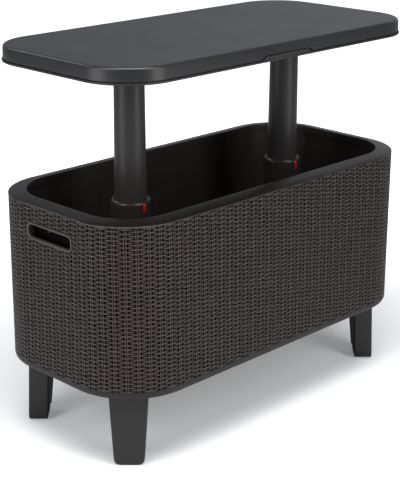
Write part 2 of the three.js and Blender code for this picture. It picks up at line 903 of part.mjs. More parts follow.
function lidTop() {
  const skirt = lipProud;
  const shoulder = lidTopHeight - lidEdgeRadius;
  const levels = [
    level(lidSize, skirt + lidSkirtDraft + lidWall, lidTopHeight - lidTopWall),
    level(lidSize, skirt + lidWall, skirtBottom),
    level(lidSize, skirt, skirtBottom),
  ];
  for (let step = 0; step <= curveSteps; step += 1) {
    const angle = ((step / curveSteps) * Math.PI) / 2;
    const inset = skirt + lidSkirtDraft + lidEdgeRadius * (1 - Math.cos(angle));
    levels.push(level(lidSize, inset, shoulder + lidEdgeRadius * Math.sin(angle)));
  }
  const front = -lidSize.width / 2;
  const notch = alongY(pullShape(0), front - overrun, front + skirt + lidWall + overrun);
  const bossTop = lidTopHeight - lidTopWall / 2;
  const bosses = lidScrewPoints.map(([x, y]) => {
    const post = rod(lidBoss / 2, plugFloorTop + seatGap, bossTop, smallSteps);
    const bore = screwHole(plugFloorTop - overrun, plugBottom + lidScrewLength + screwTip);
    return cutBy(post, bore).translate(x, y, 0);
  });
  return joined(cutBy(lofted(levels), notch), ...bosses);
}

function lidBottom() {
  const upstandInset = lipProud + lidWall + seatGap;
  const ceilingTop = recessCeiling + lidWall;
  const lipTop = lidBottomHeight + lipThickness;
  const panel = lofted([
    level(plugSize, plugDraft, plugBottom),
    level(plugSize, 0, recessCeiling),
    level(lidSize, lipWidth, recessCeiling),
    level(lidSize, lipWidth, lidBottomHeight),
    level(lidSize, lipRound, lidBottomHeight),
    level(lidSize, 0, lidBottomHeight + lipRound),
    level(lidSize, 0, lipTop - lipRound),
    level(lidSize, lipRound, lipTop),
    level(lidSize, upstandInset, lipTop),
    level(lidSize, upstandInset, lipTop + lidUpstand),
    level(lidSize, upstandInset + lidWall, lipTop + lidUpstand),
    level(lidSize, upstandInset + lidWall, ceilingTop),
    level(plugSize, lidWall, ceilingTop),
    level(plugSize, lidWall + plugDraft, plugFloorTop),
  ]);
  const front = -lidSize.width / 2 + pullTabInset;
  const tabLow = new THREE.Vector3(-lidSize.length / 2, front - overrun, lipTop - lipRound);
  const tabHigh = new THREE.Vector3(lidSize.length / 2, front + pullTabThickness + overrun, lidTopHeight);
  const tab = alongY(pullShape(-pullGap), front, front + pullTabThickness).intersect(box(tabLow, tabHigh));
  const sockets = polePlaces.map(({ side }) => {
    const outer = poleTopRadius + seatGap + socketWall;
    return rod(outer, socketFloor, socketRoof + socketWall, roundSteps).translate(poleX(side), 0, 0);
  });
  const bores = polePlaces.map(({ side }) => {
    const inner = poleRadiusAt(socketFloor) + seatGap;
    return rod(inner, socketFloor - overrun, socketRoof, roundSteps).translate(poleX(side), 0, 0);
  });
  const poleHoles = polePlaces.flatMap(({ side }) => poleScrewPoints(side).map(([x, y]) => {
    return screwHole(socketRoof - overrun, socketRoof + socketWall + overrun).translate(x, y, 0);
  }));
  const lidHoles = lidScrewPoints.map(([x, y]) => {
    return screwHole(plugBottom - overrun, plugFloorTop + overrun).translate(x, y, 0);
  });
  return cutBy(joined(panel, tab, ...sockets), ...bores, ...poleHoles, ...lidHoles);
}

function poleScrewPoints(side) {
  return [-poleScrewPitch / 2, poleScrewPitch / 2].map((offset) => [poleX(side) + offset, 0]);
}

// Tapered tube with a closed top, and a latch notch in its back
function liftPole() {
  const inside = (height) => poleRadiusAt(height) - poleWall;
  const plateBottom = poleTopHeight - poleTopPlate;
  const body = turned([
    [inside(poleFootHeight), poleFootHeight],
    [poleFootRadius, poleFootHeight],
    [poleTopRadius, poleTopHeight],
    [0, poleTopHeight],
    [0, plateBottom],
    [inside(plateBottom), plateBottom],
    [inside(poleFootHeight), poleFootHeight],
  ]);
  const back = poleRadiusAt(latchBottom);
  const notch = box(
    new THREE.Vector3(-springLength / 2, back - poleWall / 2, latchBottom - slideClearance),
    new THREE.Vector3(springLength / 2, back + overrun, latchBottom + latchThickness + slideClearance),
  );
  const bores = poleScrewPoints(0).map(([x, y]) => {
    return screwHole(plateBottom - overrun, poleTopHeight + overrun).translate(x, y, 0);
  });
  return cutBy(body, notch, ...bores);
}

function poleBush() {
  const inner = poleFootRadius + seatGap;
  return turned([
    [inner - poleWall, bushBottom],
    [bushRadius, bushBottom],
    [bushRadius, bushTop],
    [inner, bushTop],
    [inner, bushBottom + bushLip],
    [inner - poleWall, bushBottom + bushLip],
    [inner - poleWall, bushBottom],
  ]);
}

// Assembly

const coolerTable = new THREE.Group();

function place(parent, name, solid, material) {
  const mesh = new THREE.Mesh(toGeometry(solid), material);
  mesh.name = name;
  parent.add(mesh);
  return mesh;
}

function tub() {
  const group = new THREE.Group();
  place(group, 'wall_front', wallPanel(false, -1), finishes.weave());
  place(group, 'wall_back', wallPanel(false, 1), finishes.weave());
  place(group, 'wall_left', wallPanel(true, -1), finishes.weave());
  place(group, 'wall_right', wallPanel(true, 1), finishes.weave());
  place(group, 'base_pan', basePan(), finishes.leg());
  place(group, 'rim_frame', rimFrame(), finishes.rim());
  place(group, 'liner_floor', linerFloor(), finishes.liner());
  place(group, 'liner_left', linerHalf(-1), finishes.liner());
  place(group, 'liner_right', linerHalf(1), finishes.liner());
  place(group, 'handle_cup_right', handleCup(), finishes.rim());
  const leftCup = place(group, 'handle_cup_left', joined(handleCup(), cupHook()), finishes.rim());
  leftCup.rotation.z = Math.PI;
  for (const spot of legPlaces) {
    const mesh = place(group, `leg_${spot.name}`, leg(), finishes.leg());
    mesh.position.set(spot.sideX * legCentreX, spot.sideY * legCentreY, 0);
    mesh.rotation.z = legTurn(spot);
    legScrewReaches.forEach((reach, at) => {
      const [x, y] = legScrewPoint(spot, reach);
      const name = `leg_screw_${spot.name}_${at + 1}`;
      const fastener = place(group, name, screw(legScrewLength), finishes.steel());
      fastener.position.set(x, y, legHeight - legWall - 2 * seatGap);
    });
  }
  return group;
}

function poleGuides() {
  const group = new THREE.Group();
  for (const { name, side } of polePlaces) {
    const post = new THREE.Group();
    post.position.x = poleX(side);
    place(post, `pole_sleeve_${name}`, poleSleeve(), finishes.liner());
    place(post, `sleeve_gasket_${name}`, sleeveGasket(), finishes.rubber());
    place(post, `collar_${name}`, collar(), finishes.collar());
    place(post, `latch_ring_${name}`, latchRing(), finishes.steel());
    place(post, `release_button_${name}`, releaseButton(), finishes.button());
    place(post, `latch_spring_${name}`, latchSpring(), finishes.steel());
    group.add(post);
    sleeveScrewPoints(side).forEach(([x, y], at) => {
      const length = sleeveFlangeBottom + sleeveScrewDepth - legHeight;
      const fastener = place(group, `sleeve_screw_${name}_${at + 1}`, screw(length), finishes.steel());
      fastener.position.set(x, y, legHeight - seatGap);
    });
  }
  return group;
}

function drain() {
  const group = new THREE.Group();
  place(group, 'drain_fitting', drainFitting(), finishes.liner());
  place(group, 'drain_gasket', drainGasket(), finishes.rubber());
  place(group, 'drain_nut', drainNut(), finishes.liner());
  place(group, 'drain_cap', drainCap(), finishes.leg());
  return group;
}

function tableTop() {
  const group = new THREE.Group();
  place(group, 'lid_top', lidTop(), finishes.lid());
  place(group, 'lid_bottom', lidBottom(), finishes.lidUnder());
  lidScrewPoints.forEach(([x, y], at) => {
    const fastener = place(group, `lid_screw_${at + 1}`, screw(lidScrewLength), finishes.steel());
    fastener.position.set(x, y, plugBottom - seatGap);
  });
  for (const { name, side } of polePlaces) {
    const post = new THREE.Group();
    post.position.x = poleX(side);
    place(post, `lift_pole_${name}`, liftPole(), finishes.pole());
    place(post, `pole_bush_${name}`, poleBush(), finishes.collar());
    group.add(post);
    poleScrewPoints(side).forEach(([x, y], at) => {
      const label = `pole_screw_${name}_${at + 1}`;
      const fastener = place(group, label, screw(poleScrewLength), finishes.steel());
      fastener.position.set(x, y, socketRoof + socketWall + seatGap);
      fastener.rotation.x = Math.PI;
    });
  }
  return group;
}

coolerTable.add(tub(), poleGuides(), drain(), tableTop());

export default coolerTable;
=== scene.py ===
# %% [markdown]
# # A cooler table, dressed piece by piece
#
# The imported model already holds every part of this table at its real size: the tub on its four legs,
# the two lift poles and the table top. This lesson keeps that frame and makes the surfaces that a
# visitor would look at closely: the moulded wicker wall, the soft edges of the table top, the red
# release buttons. Each new piece is a grid or a profile worked out with numpy, in metres.

import bpy
import numpy as np
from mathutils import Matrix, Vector


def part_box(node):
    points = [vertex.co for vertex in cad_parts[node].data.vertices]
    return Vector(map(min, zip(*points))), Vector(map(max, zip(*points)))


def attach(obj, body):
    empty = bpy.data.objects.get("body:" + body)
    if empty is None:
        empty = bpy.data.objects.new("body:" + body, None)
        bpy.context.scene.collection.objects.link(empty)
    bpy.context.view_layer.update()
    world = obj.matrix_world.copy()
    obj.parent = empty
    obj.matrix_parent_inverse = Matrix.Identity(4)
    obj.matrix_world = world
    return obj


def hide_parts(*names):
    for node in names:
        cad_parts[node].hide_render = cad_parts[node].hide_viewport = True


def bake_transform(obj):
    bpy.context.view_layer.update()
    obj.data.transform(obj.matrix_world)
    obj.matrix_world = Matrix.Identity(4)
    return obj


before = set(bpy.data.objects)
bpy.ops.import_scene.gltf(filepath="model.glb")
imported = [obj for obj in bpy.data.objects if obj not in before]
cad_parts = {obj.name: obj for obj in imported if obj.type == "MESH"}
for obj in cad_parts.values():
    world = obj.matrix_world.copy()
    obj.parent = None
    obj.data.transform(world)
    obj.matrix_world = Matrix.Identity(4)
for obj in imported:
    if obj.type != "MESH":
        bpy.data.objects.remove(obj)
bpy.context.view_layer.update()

mm = 0.001
print("nodes:", len(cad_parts))

# %% [markdown]
# ## Places taken from the frame
#
# A new surface has to lie exactly where the solid part lies, so heights and lengths are read from the
# boxes of the frame's own nodes. Only what a box can't tell, such as a corner's radius, is typed here.

# %% Heights and outlines
def low(node):
    """Lowest corner of a node's box as an array."""
    return np.array(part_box(node)[0])


def high(node):
    """Highest corner of a node's box as an array."""
    return np.array(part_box(node)[1])


def axis(node):
    """Place of a node's upright axis: the middle of its box, seen from above."""
    return ((low(node) + high(node)) / 2)[:2]


def heights(node):
    """Lowest and highest height of a node."""
    return low(node)[2], high(node)[2]


def outline(node, radius):
    """Rounded rectangle round a node, seen from above, as length, width and corner radius."""
    return np.array([*(high(node) - low(node))[:2], radius])


leg_height = low("base_pan")[2]
band_top = low("wall_front")[2] - 0.3 * mm
weave_top = high("wall_front")[2] + 0.3 * mm
rim_top = high("rim_frame")[2]
lid_top = high("lid_top")[2]
lip_bottom = high("lid_bottom")[2] - 12.5 * mm

base_outline = outline("base_pan", 132 * mm)
rim_outline = outline("rim_frame", 118 * mm)
opening_outline = rim_outline - np.array([62, 62, 21]) * mm
lid_outline = outline("lid_bottom", 103 * mm)
plug_outline = opening_outline - np.array([10, 9, 5]) * mm
print("base outline", base_outline, "rim outline", rim_outline)


# %% [markdown]
# ## Meshes from arrays
#
# Every piece is a skin carried through loops of points. One helper turns arrays into a Blender object,
# one joins the loops with quads, and one rounds the corners of a profile, because a moulded part has
# no knife edges: each soft corner catches its own line of light.

# %% Points in space
def in_space(x, y, z):
    """Points from their coordinates, or triangles from their corners, each an array or a number."""
    return np.stack(np.broadcast_arrays(x, y, z), axis=-1)


# %% Skins through loops
def loft(loops, ring=False):
    """Skin through loops of equal length, given as (loops, points, 3): quad i, j joins point j of loop i
    to point j + 1 and to the next loop. A ring joins the last loop to the first, and any other skin
    is closed by a flat face at each end. The faces have to look out, so where the volume under them,
    the sum of a . (b x c) / 6 over their triangles, is below zero, all of them are turned."""
    loops = np.asarray(loops, float)
    count, around = loops.shape[:2]
    level = np.arange(count if ring else count - 1)[:, None]
    above = (level + 1) % count
    at = np.arange(around)[None, :]
    following = (at + 1) % around
    quads = np.stack([
        level * around + at,
        level * around + following,
        above * around + following,
        above * around + at,
    ], axis=-1).reshape(-1, 4)
    ends = [] if ring else [at[0, ::-1], (count - 1) * around + at[0]]
    points = loops.reshape(-1, 3)
    triangles = [quads[:, [0, 1, 2]], quads[:, [0, 2, 3]]]
    triangles += [in_space(end[0], end[1:-1], end[2:]) for end in ends]
    a, b, c = (points - points[0])[np.concatenate(triangles).T]
    way = -1 if np.sum(a * np.cross(b, c)) < 0 else 1
    return points, quads[:, ::way].tolist() + [end[::way].tolist() for end in ends]


def merged(*parts):
    """Several skins as one: points are stacked, and each skin's faces move up by those before it."""
    points, faces, start = [], [], 0
    for part_points, part_faces in parts:
        points.append(part_points)
        faces += [[corner + start for corner in face] for face in part_faces]
        start += len(part_points)
    return np.concatenate(points), faces


# %% Soft corners
def softened(profile, radii, steps=4, closed=False, weights=None):
    """Profile with round corners: each corner gives way to a curve (1-t)^2 a + 2t(1-t) corner + t^2 b,
    where a and b lie one radius before and after it. A corner of radius zero stays as it is."""
    profile = np.asarray(profile, float)
    count = len(profile)
    radii = np.broadcast_to(np.asarray(radii, float), count)
    scale = np.ones(profile.shape[1]) if weights is None else np.asarray(weights, float)
    rows = []
    for i in range(count):
        corner, radius = profile[i], radii[i]
        if radius <= 0 or (not closed and i in (0, count - 1)):
            rows.append(corner[None])
            continue
        ends = []
        for other in (profile[i - 1], profile[(i + 1) % count]):
            reach = np.linalg.norm((other - corner) * scale)
            ends.append(corner + (other - corner) * min(radius / reach, 0.49))
        t = np.linspace(0, 1, steps + 1)[:, None]
        rows.append((1 - t) ** 2 * ends[0] + 2 * t * (1 - t) * corner + t ** 2 * ends[1])
    return np.concatenate(rows)


# %% Objects from skins
def new_object(name, data):
    """Object that shows some data, put in the scene."""
    item = bpy.data.objects.new(name, data)
    bpy.context.scene.collection.objects.link(item)
    return item


def skin_mesh(name, skin, material=None):
    """Mesh from a skin's points and faces."""
    mesh = bpy.data.meshes.new(name)
    mesh.from_pydata(skin[0].tolist(), [], skin[1])
    if material:
        mesh.materials.append(material)
    return mesh


def add_piece(name, skin, body, slot, replaces, look=None, crease=35):
    """Blender object from a skin, at the origin with its place in its mesh. body is the name of the body
    it rides on. A piece given anything else, such as the two bodies and points of a leaf spring, is only
    fixed where it lies. Its finish is the slot's own unless a look is named, and edges that turn more
    than the crease angle stay sharp in the shading."""
    mesh = skin_mesh(name, skin, finish[look or slot])
    mesh.shade_smooth()
    mesh.set_sharp_from_angle(angle=np.radians(crease))
    piece = new_object(name, mesh)
    if isinstance(body, str):
        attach(piece, body)
    else:
        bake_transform(piece)
    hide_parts(*replaces)
    print(f"{name}: {len(skin[0])} points, {len(skin[1])} faces")
    return piece


# %% [markdown]
# ## Outlines as stations
#
# The tub, the rim, the liner and the table top are all rounded rectangles. A station says which of the
# four sides or four corner arcs a point is on and how far along it lies, so the same stations can be
# placed on outlines of any size, and a skin between two of them has no twist. A moulding is written down
# as rows, one for each corner of its section: where the corner lies and how round it is.

# %% Stations round a rectangle
def stations(corner_steps, front_marks=(), back_marks=()):
    """Side or arc number 0 to 7 and share along it, anticlockwise from the front left. Marks are shares
    of the front or back side that get a station of their own."""
    numbers, shares = [], []
    for quarter in range(4):
        marks = {0: front_marks, 2: back_marks}.get(quarter, ())
        along = np.array([0.0, *sorted(marks)])
        arc = np.arange(corner_steps) / corner_steps
        numbers += [2 * quarter] * len(along) + [2 * quarter + 1] * corner_steps
        shares += [*along, *arc]
    return np.array(numbers), np.array(shares)


def around(stops, levels):
    """Loops at the given levels, each a row of length, width, corner radius and height. On a side a
    point runs straight, and on an arc it goes round the corner's centre."""
    numbers, shares = stops
    length, width, radius, height = np.asarray(levels, float).T[:, :, None]
    quarter = numbers // 2
    on_end = quarter % 2 == 1
    half_along = np.where(on_end, width, length) / 2 - radius
    out = np.where(on_end, length, width) / 2
    angle = np.where(numbers % 2 == 1, shares * np.pi / 2, 0)
    along = np.where(numbers % 2 == 1, half_along, (2 * shares - 1) * half_along)
    along = along + radius * np.sin(angle)
    out = out - radius + radius * np.cos(angle)
    turn = quarter * np.pi / 2
    x = along * np.cos(turn) + out * np.sin(turn)
    y = along * np.sin(turn) - out * np.cos(turn)
    return in_space(x, y, height)


# %% Rows of a section
def soft_levels(rows, steps=4, closed=False):
    """Levels for around(), with round corners. A row holds an outline, how far it is drawn in, a height,
    how far above it the level lies, and the corner's radius. All but outline and height are in
    millimetres. Across a wall half the width and the height count."""
    levels = []
    for shape, inset, height, above, _ in rows:
        levels.append([*(shape - np.array([2, 2, 1]) * inset * mm), height + above * mm])
    return softened(levels, [row[-1] * mm for row in rows], steps, closed, weights=[0, 0.5, 0, 1])


def soft_profile(rows, steps=4, closed=False):
    """Profile for turned(), with round corners. A row holds a radius, a height, how far above it the
    point lies, and the corner's radius. All but the height are in millimetres."""
    points = [[radius * mm, height + above * mm] for radius, height, above, _ in rows]
    return softened(points, [row[-1] * mm for row in rows], steps, closed)


# %% Turned shapes
def turned(profile, steps=64, centre=(0, 0), ring=False):
    """Profile of radius and height carried round an upright axis."""
    angle = np.arange(steps) * 2 * np.pi / steps
    x = centre[0] + profile[:, :1] * np.cos(angle)
    y = centre[1] + profile[:, :1] * np.sin(angle)
    return loft(in_space(x, y, profile[:, 1:]), ring)


# %% [markdown]
# ## Finishes
#
# Almost everything here is moulded polypropylene. What the eye reads as that plastic is a fine grain
# that breaks up the gloss, and a slow drift of tone across big faces. Both are effects that many
# materials need, so each is a node group, built once and given its own numbers in every finish.

# %% Node helpers
def add(tree, kind, **settings):
    """Adds a node and sets its properties."""
    node = tree.nodes.new(kind)
    for key, value in settings.items():
        setattr(node, key, value)
    return node


def give(tree, entry, value):
    """Gives an input its value: a socket is linked, and anything else is set."""
    if isinstance(value, bpy.types.NodeSocket):
        tree.links.new(value, entry)
    else:
        entry.default_value = value


def feed(tree, node, **values):
    """Gives a node's inputs their values. A name has _ in place of each space."""
    for key, value in values.items():
        give(tree, node.inputs[key.replace("_", " ")], value)


# %% Nodes in one call
def maths(tree, operation, first, *others):
    """Math nodes in a chain: each takes the result so far and the next value, a socket or a number."""
    for value in others:
        node = add(tree, "ShaderNodeMath", operation=operation)
        give(tree, node.inputs[0], first)
        give(tree, node.inputs[1], value)
        first = node.outputs[0]
    return first


def noise(tree, vector, scale, detail=3.0):
    """Noise texture as a value."""
    node = add(tree, "ShaderNodeTexNoise")
    feed(tree, node, Vector=vector, Scale=scale, Detail=detail)
    return node.outputs["Fac"]


def share_between(tree, value, first, last, lowest=0.0, highest=1.0):
    """Smooth way from lowest to highest while the value goes from first to last: 3 s^2 - 2 s^3."""
    node = add(tree, "ShaderNodeMapRange", interpolation_type="SMOOTHSTEP")
    feed(tree, node, Value=value, From_Min=first, From_Max=last, To_Min=lowest, To_Max=highest)
    return node.outputs["Result"]


def blend_colour(tree, share, first, second):
    """Mix of two colours by a share: sockets or plain colours."""
    node = add(tree, "ShaderNodeMix", data_type="RGBA")
    feed(tree, node, Factor=share)
    for name, value in (("A", first), ("B", second)):
        give(tree, next(s for s in node.inputs if s.name == name and s.type == "RGBA"), value)
    return next(s for s in node.outputs if s.type == "RGBA")


# %% Empty groups and materials
def new_group(name, entries, results):
    """Node group whose inputs have the given values, where a tuple makes a colour, and whose outputs
    have the given kinds. Returns the group and its two end nodes."""
    group = bpy.data.node_groups.new(name, "ShaderNodeTree")
    for label, value in entries.items():
        kind = "NodeSocketColor" if isinstance(value, tuple) else "NodeSocketFloat"
        group.interface.new_socket(name=label, in_out="INPUT", socket_type=kind).default_value = value
    for label, kind in results.items():
        group.interface.new_socket(name=label, in_out="OUTPUT", socket_type=f"NodeSocket{kind}")
    return group, add(group, "NodeGroupInput").outputs, add(group, "NodeGroupOutput")


def new_material(name):
    """Material, its node tree and its shader."""
    material = bpy.data.materials.new(name)
    material.use_nodes = True
    return material, material.node_tree, material.node_tree.nodes["Principled BSDF"]


def bump(tree, shader, height, strength, distance):
    """Small relief from a height into the shader's normal."""
    relief = add(tree, "ShaderNodeBump")
    feed(tree, relief, Strength=strength, Distance=distance, Height=height)
    feed(tree, shader, Normal=relief.outputs["Normal"])


# %% Group: moulded grain
grain_scale, drift_scale, speck_gain = 1400.0, 9.0, 0.12


def moulded_grain():
    """Node group: fine spark-eroded grain as a height, slow drift of tone on the colour, and a
    roughness that follows both."""
    entries = {"Colour": (0.05, 0.05, 0.05, 1), "Grain Size": 1.0, "Drift": 0.1, "Roughness": 0.5}
    results = {"Colour": "Color", "Roughness": "Float", "Height": "Float"}
    group, inside, outside = new_group("moulded_grain", entries, results)
    place = add(group, "ShaderNodeTexCoord").outputs["Object"]
    grain = noise(group, place, maths(group, "DIVIDE", grain_scale, inside["Grain Size"]), 2.0)
    swing = maths(group, "SUBTRACT", noise(group, place, drift_scale, 4.0), 0.5)
    swing = maths(group, "MULTIPLY", swing, inside["Drift"])
    speck = maths(group, "MULTIPLY", maths(group, "SUBTRACT", grain, 0.5), speck_gain)
    gain = maths(group, "ADD", swing, speck, 1.0)
    tint = add(group, "ShaderNodeVectorMath", operation="SCALE")
    group.links.new(inside["Colour"], tint.inputs[0])
    feed(group, tint, Scale=gain)
    rough = maths(group, "ADD", inside["Roughness"], maths(group, "MULTIPLY", swing, 0.5))
    feed(group, outside, Colour=tint.outputs[0], Roughness=rough, Height=grain)
    return group


grain_group = moulded_grain()


# %% Materials from the group
def linear(red, green, blue):
    """Scene colour for a colour given on the 0 to 255 scale: share to the power 2.2."""
    return (*(np.array([red, green, blue]) / 255) ** 2.2, 1.0)


def plastic(name, colour, roughness, grain=1.0, drift=0.25, relief=0.05, specular=0.5):
    """Moulded plastic: grain group into colour, roughness and a faint relief."""
    material, tree, shader = new_material(name)
    effect = add(tree, "ShaderNodeGroup", node_tree=grain_group)
    feed(tree, effect, Colour=colour, Grain_Size=grain, Drift=drift, Roughness=roughness)
    feed(tree, shader, Base_Color=effect.outputs["Colour"], Roughness=effect.outputs["Roughness"])
    feed(tree, shader, Specular_IOR_Level=specular)
    bump(tree, shader, effect.outputs["Height"], relief, 0.2 * mm)
    return material


finish = {
    "lid": plastic("lid_plastic", linear(40, 40, 41), 0.33, relief=0.2),
    "lid_underside": plastic("lid_underside_plastic", linear(37, 37, 38), 0.5, relief=0.2),
    "rim": plastic("rim_plastic", linear(26, 22, 20), 0.3, relief=0.08, specular=0.75),
    # Painted light: the rim's inner skirt is a lighter copy of the rim plastic.
    "rim_skirt_painted_light": plastic("rim_skirt_painted_light_plastic", linear(50, 45, 42), 0.4, relief=0.08),
    "cup": plastic("cup_plastic", linear(58, 53, 50), 0.3, relief=0.08),
    "pocket": plastic("pocket_plastic", linear(66, 60, 57), 0.7, relief=0.08, specular=0.1),
    "liner": plastic("liner_plastic", linear(38, 34, 31), 0.4, relief=0.08),
    "leg": plastic("leg_plastic", linear(40, 38, 38), 0.5, relief=0.2, specular=0.4),
    "band": plastic("band_plastic", linear(31, 27, 27), 0.5, relief=0.2, specular=0.4),
    "pole": plastic("pole_plastic", linear(62, 60, 59), 0.38, relief=0.05, specular=0.34),
    "collar": plastic("collar_plastic", linear(54, 49, 47), 0.32, relief=0.04),
    "rubber": plastic("gasket_rubber", linear(24, 24, 24), 0.85, grain=2.0),
}
print("plastics:", ", ".join(finish))

# %% [markdown]
# Two finishes are not plain grain. The release buttons are glossy red with a clear skin, and the screws
# are zinc-plated steel, whose brushed streaks change the roughness more than the colour.

# %% Red button and steel
def button_finish():
    """Glossy red plastic: grain group for tone, and a clear coat on the shader's own sockets."""
    material = plastic("button_plastic", linear(198, 32, 30), 0.3, drift=0.15, relief=0.02)
    tree = material.node_tree
    feed(tree, tree.nodes["Principled BSDF"], Coat_Weight=0.6, Coat_Roughness=0.12)
    return material


def steel_finish():
    """Plated steel: streaks of stretched noise move the roughness between satin and bright."""
    material, tree, shader = new_material("screw_steel")
    stretch = add(tree, "ShaderNodeMapping")
    feed(tree, stretch, Vector=add(tree, "ShaderNodeTexCoord").outputs["Object"], Scale=(1, 1, 0.15))
    streaks = noise(tree, stretch.outputs["Vector"], 900.0)
    rough = maths(tree, "ADD", maths(tree, "MULTIPLY", streaks, 0.3), 0.18)
    colour = blend_colour(tree, streaks, linear(150, 150, 152), linear(196, 196, 200))
    feed(tree, shader, Metallic=1.0, Roughness=rough, Base_Color=colour)
    return material


finish["button"] = button_finish()
finish["steel"] = steel_finish()


# %% [markdown]
# ## The moulded wicker wall
#
# The wall is one hard plastic moulding that imitates cane weaving: pairs of thin upright canes every
# 22 mm, and flat strands that pass in front of one pair and behind the next, 75 rows high. A bump map
# would look flat at the silhouette and in the gaps, so the weave is real relief: a height for every
# point of a fine grid on the wall. Strand k passes over a pair of canes where column and row numbers
# are both even or both odd, broad and proud, and dives, narrow and dark, behind the pair on each side.
# The sizes below are in millimetres. The last two lines are places along a strand, as shares of the way
# from the pair that it passes over, at 0, to the pair that it passes behind, at 1.

# %% Weave sizes
long_columns = 36
end_columns = 16
columns_in_all = 2 * (long_columns + end_columns)
rows = 75
column_pitch = 21.9
row_pitch = (weave_top - band_top) / mm / rows
half_over, half_middle, half_under = 1.6, 2.15, 1.0
strand_crown = 0.9
strand_dive = 0.5
last_dive = 3.4
cane_offset = 2.25
cane_half = 1.5
cane_depth = 0.2
seam_depth = 1.9
deepest = 4.4
back_depth = 4.6
over_edge, cell_middle, sink_start, sink_end = 0.2, 0.5, 0.3, 0.68
dive_start, dive_end = 0.72, 0.84
print(f"row pitch {row_pitch:.2f} mm")

# %% [markdown]
# Cane is never even, and the mould was taken from the real thing. Each strand gets a small push up or
# down and in or out at every column, and each pair of canes wanders a little. The numbers come from a
# seeded generator, so the wall is the same every time.

# %% Unevenness of the cane
rng = np.random.default_rng(11)
strand_rise = rng.normal(0, 0.1, (rows, columns_in_all))
strand_sink = np.abs(rng.normal(0, 0.1, (rows, columns_in_all)))
strand_spread = rng.normal(0, 0.05, (rows, columns_in_all))
cane_drift = rng.normal(0, 0.14, (rows, columns_in_all))


def between_columns(table, row, column):
    """Value of a table at a fractional column: a smooth blend of the two columns beside it."""
    left = np.floor(column).astype(int)
    share = column - left
    share = share * share * (3 - 2 * share)
    near = table[row, left % columns_in_all]
    far = table[row, (left + 1) % columns_in_all]
    return near + (far - near) * share


# %% Relief of the weave
def smooth_step(value, first, last):
    """Rise from 0 to 1 between two values: 3 s^2 - 2 s^3 of the share s."""
    share = np.clip((value - first) / (last - first), 0, 1)
    return share * share * (3 - 2 * share)


def strand_depth(column, height, row):
    """Depth of one strand in millimetres. It is level from the pair it passes over to the middle of the
    cell, where it is broadest. Then it sinks and narrows to a tongue, and dives at last just beside the
    pair it passes behind. Across the strand it falls away by crown * (1 - sqrt(1 - q^2))."""
    present = (row >= 0) & (row < rows)
    row = np.clip(row, 0, rows - 1)
    phase = np.mod(column - row, 2)
    away = np.minimum(phase, 2 - phase)
    half = np.interp(away, [over_edge, cell_middle, dive_end], [half_over, half_middle, half_under])
    half = half + between_columns(strand_spread, row, column)
    q = ((height - row - 0.5) * row_pitch - between_columns(strand_rise, row, column)) / half
    crest = strand_dive * smooth_step(away, sink_start, sink_end)
    crest = crest + last_dive * smooth_step(away, dive_start, dive_end)
    crest = crest + between_columns(strand_sink, row, column)
    depth = crest + strand_crown * (1 - np.sqrt(np.clip(1 - q ** 2, 0, 1)))
    return np.where(present & (np.abs(q) < 1), depth, deepest)


def weave_depth(column, height):
    """Depth below the wall's face: the shallowest of the three nearest strands and the pair of canes.
    A cane's section is a circle with a flattened top: 1 - sqrt(1 - s^4). The seam between the two
    canes of a pair is filled up to its own depth."""
    home = np.clip(np.floor(height).astype(int), 0, rows - 1)
    strands = [strand_depth(column, height, home + step) for step in (-1, 0, 1)]
    nearest = np.round(column).astype(int)
    drift = cane_drift[home, nearest % columns_in_all]
    off_middle = np.abs((column - nearest) * column_pitch - drift)
    side = (off_middle - cane_offset) / cane_half
    cane = cane_depth + cane_half * (1 - np.sqrt(np.clip(1 - side ** 4, 0, 1)))
    cane = np.where(np.abs(side) < 1, cane, deepest)
    cane = np.where(off_middle < cane_offset, np.minimum(cane, seam_depth), cane)
    return np.clip(np.minimum.reduce([*strands, cane]), 0, deepest)


# %% [markdown]
# The grid has to follow the tub: straight sides, round corners, and a slight spread from the rim down to
# the base. A point on the wall is given by its side, the share of the way between that side's two
# corner diagonals, its height and its depth. Every column starts on a diagonal, as on the real mould.

# %% Points on the wall
def wall_point(quarter, share, height, depth):
    """Point on the tub's wall: outline blended by height from base to rim, walked along by arc length
    from diagonal to diagonal, then moved in along the outline's normal by the depth."""
    mix = ((height - band_top) / (weave_top - band_top))[..., None]
    length, width, radius = np.moveaxis(base_outline + (rim_outline - base_outline) * mix, -1, 0)
    if quarter % 2:
        length, width = width, length
    straight = length / 2 - radius
    walk = (2 * share - 1) * (straight + radius * np.pi / 4)
    angle = np.clip(np.abs(walk) - straight, 0, None) / radius
    side = np.sign(walk)
    along = side * (np.minimum(np.abs(walk), straight) + (radius - depth) * np.sin(angle))
    out = width / 2 - radius + (radius - depth) * np.cos(angle)
    turn = quarter * np.pi / 2
    x = along * np.cos(turn) + out * np.sin(turn)
    y = along * np.sin(turn) - out * np.cos(turn)
    return in_space(x, y, height)


# %% [markdown]
# Each panel is closed behind by a plain back, so that it is a body and not a paper skin. The fine front
# needs a fine edge, and the back only needs its corners: each upright edge becomes one many-sided face.

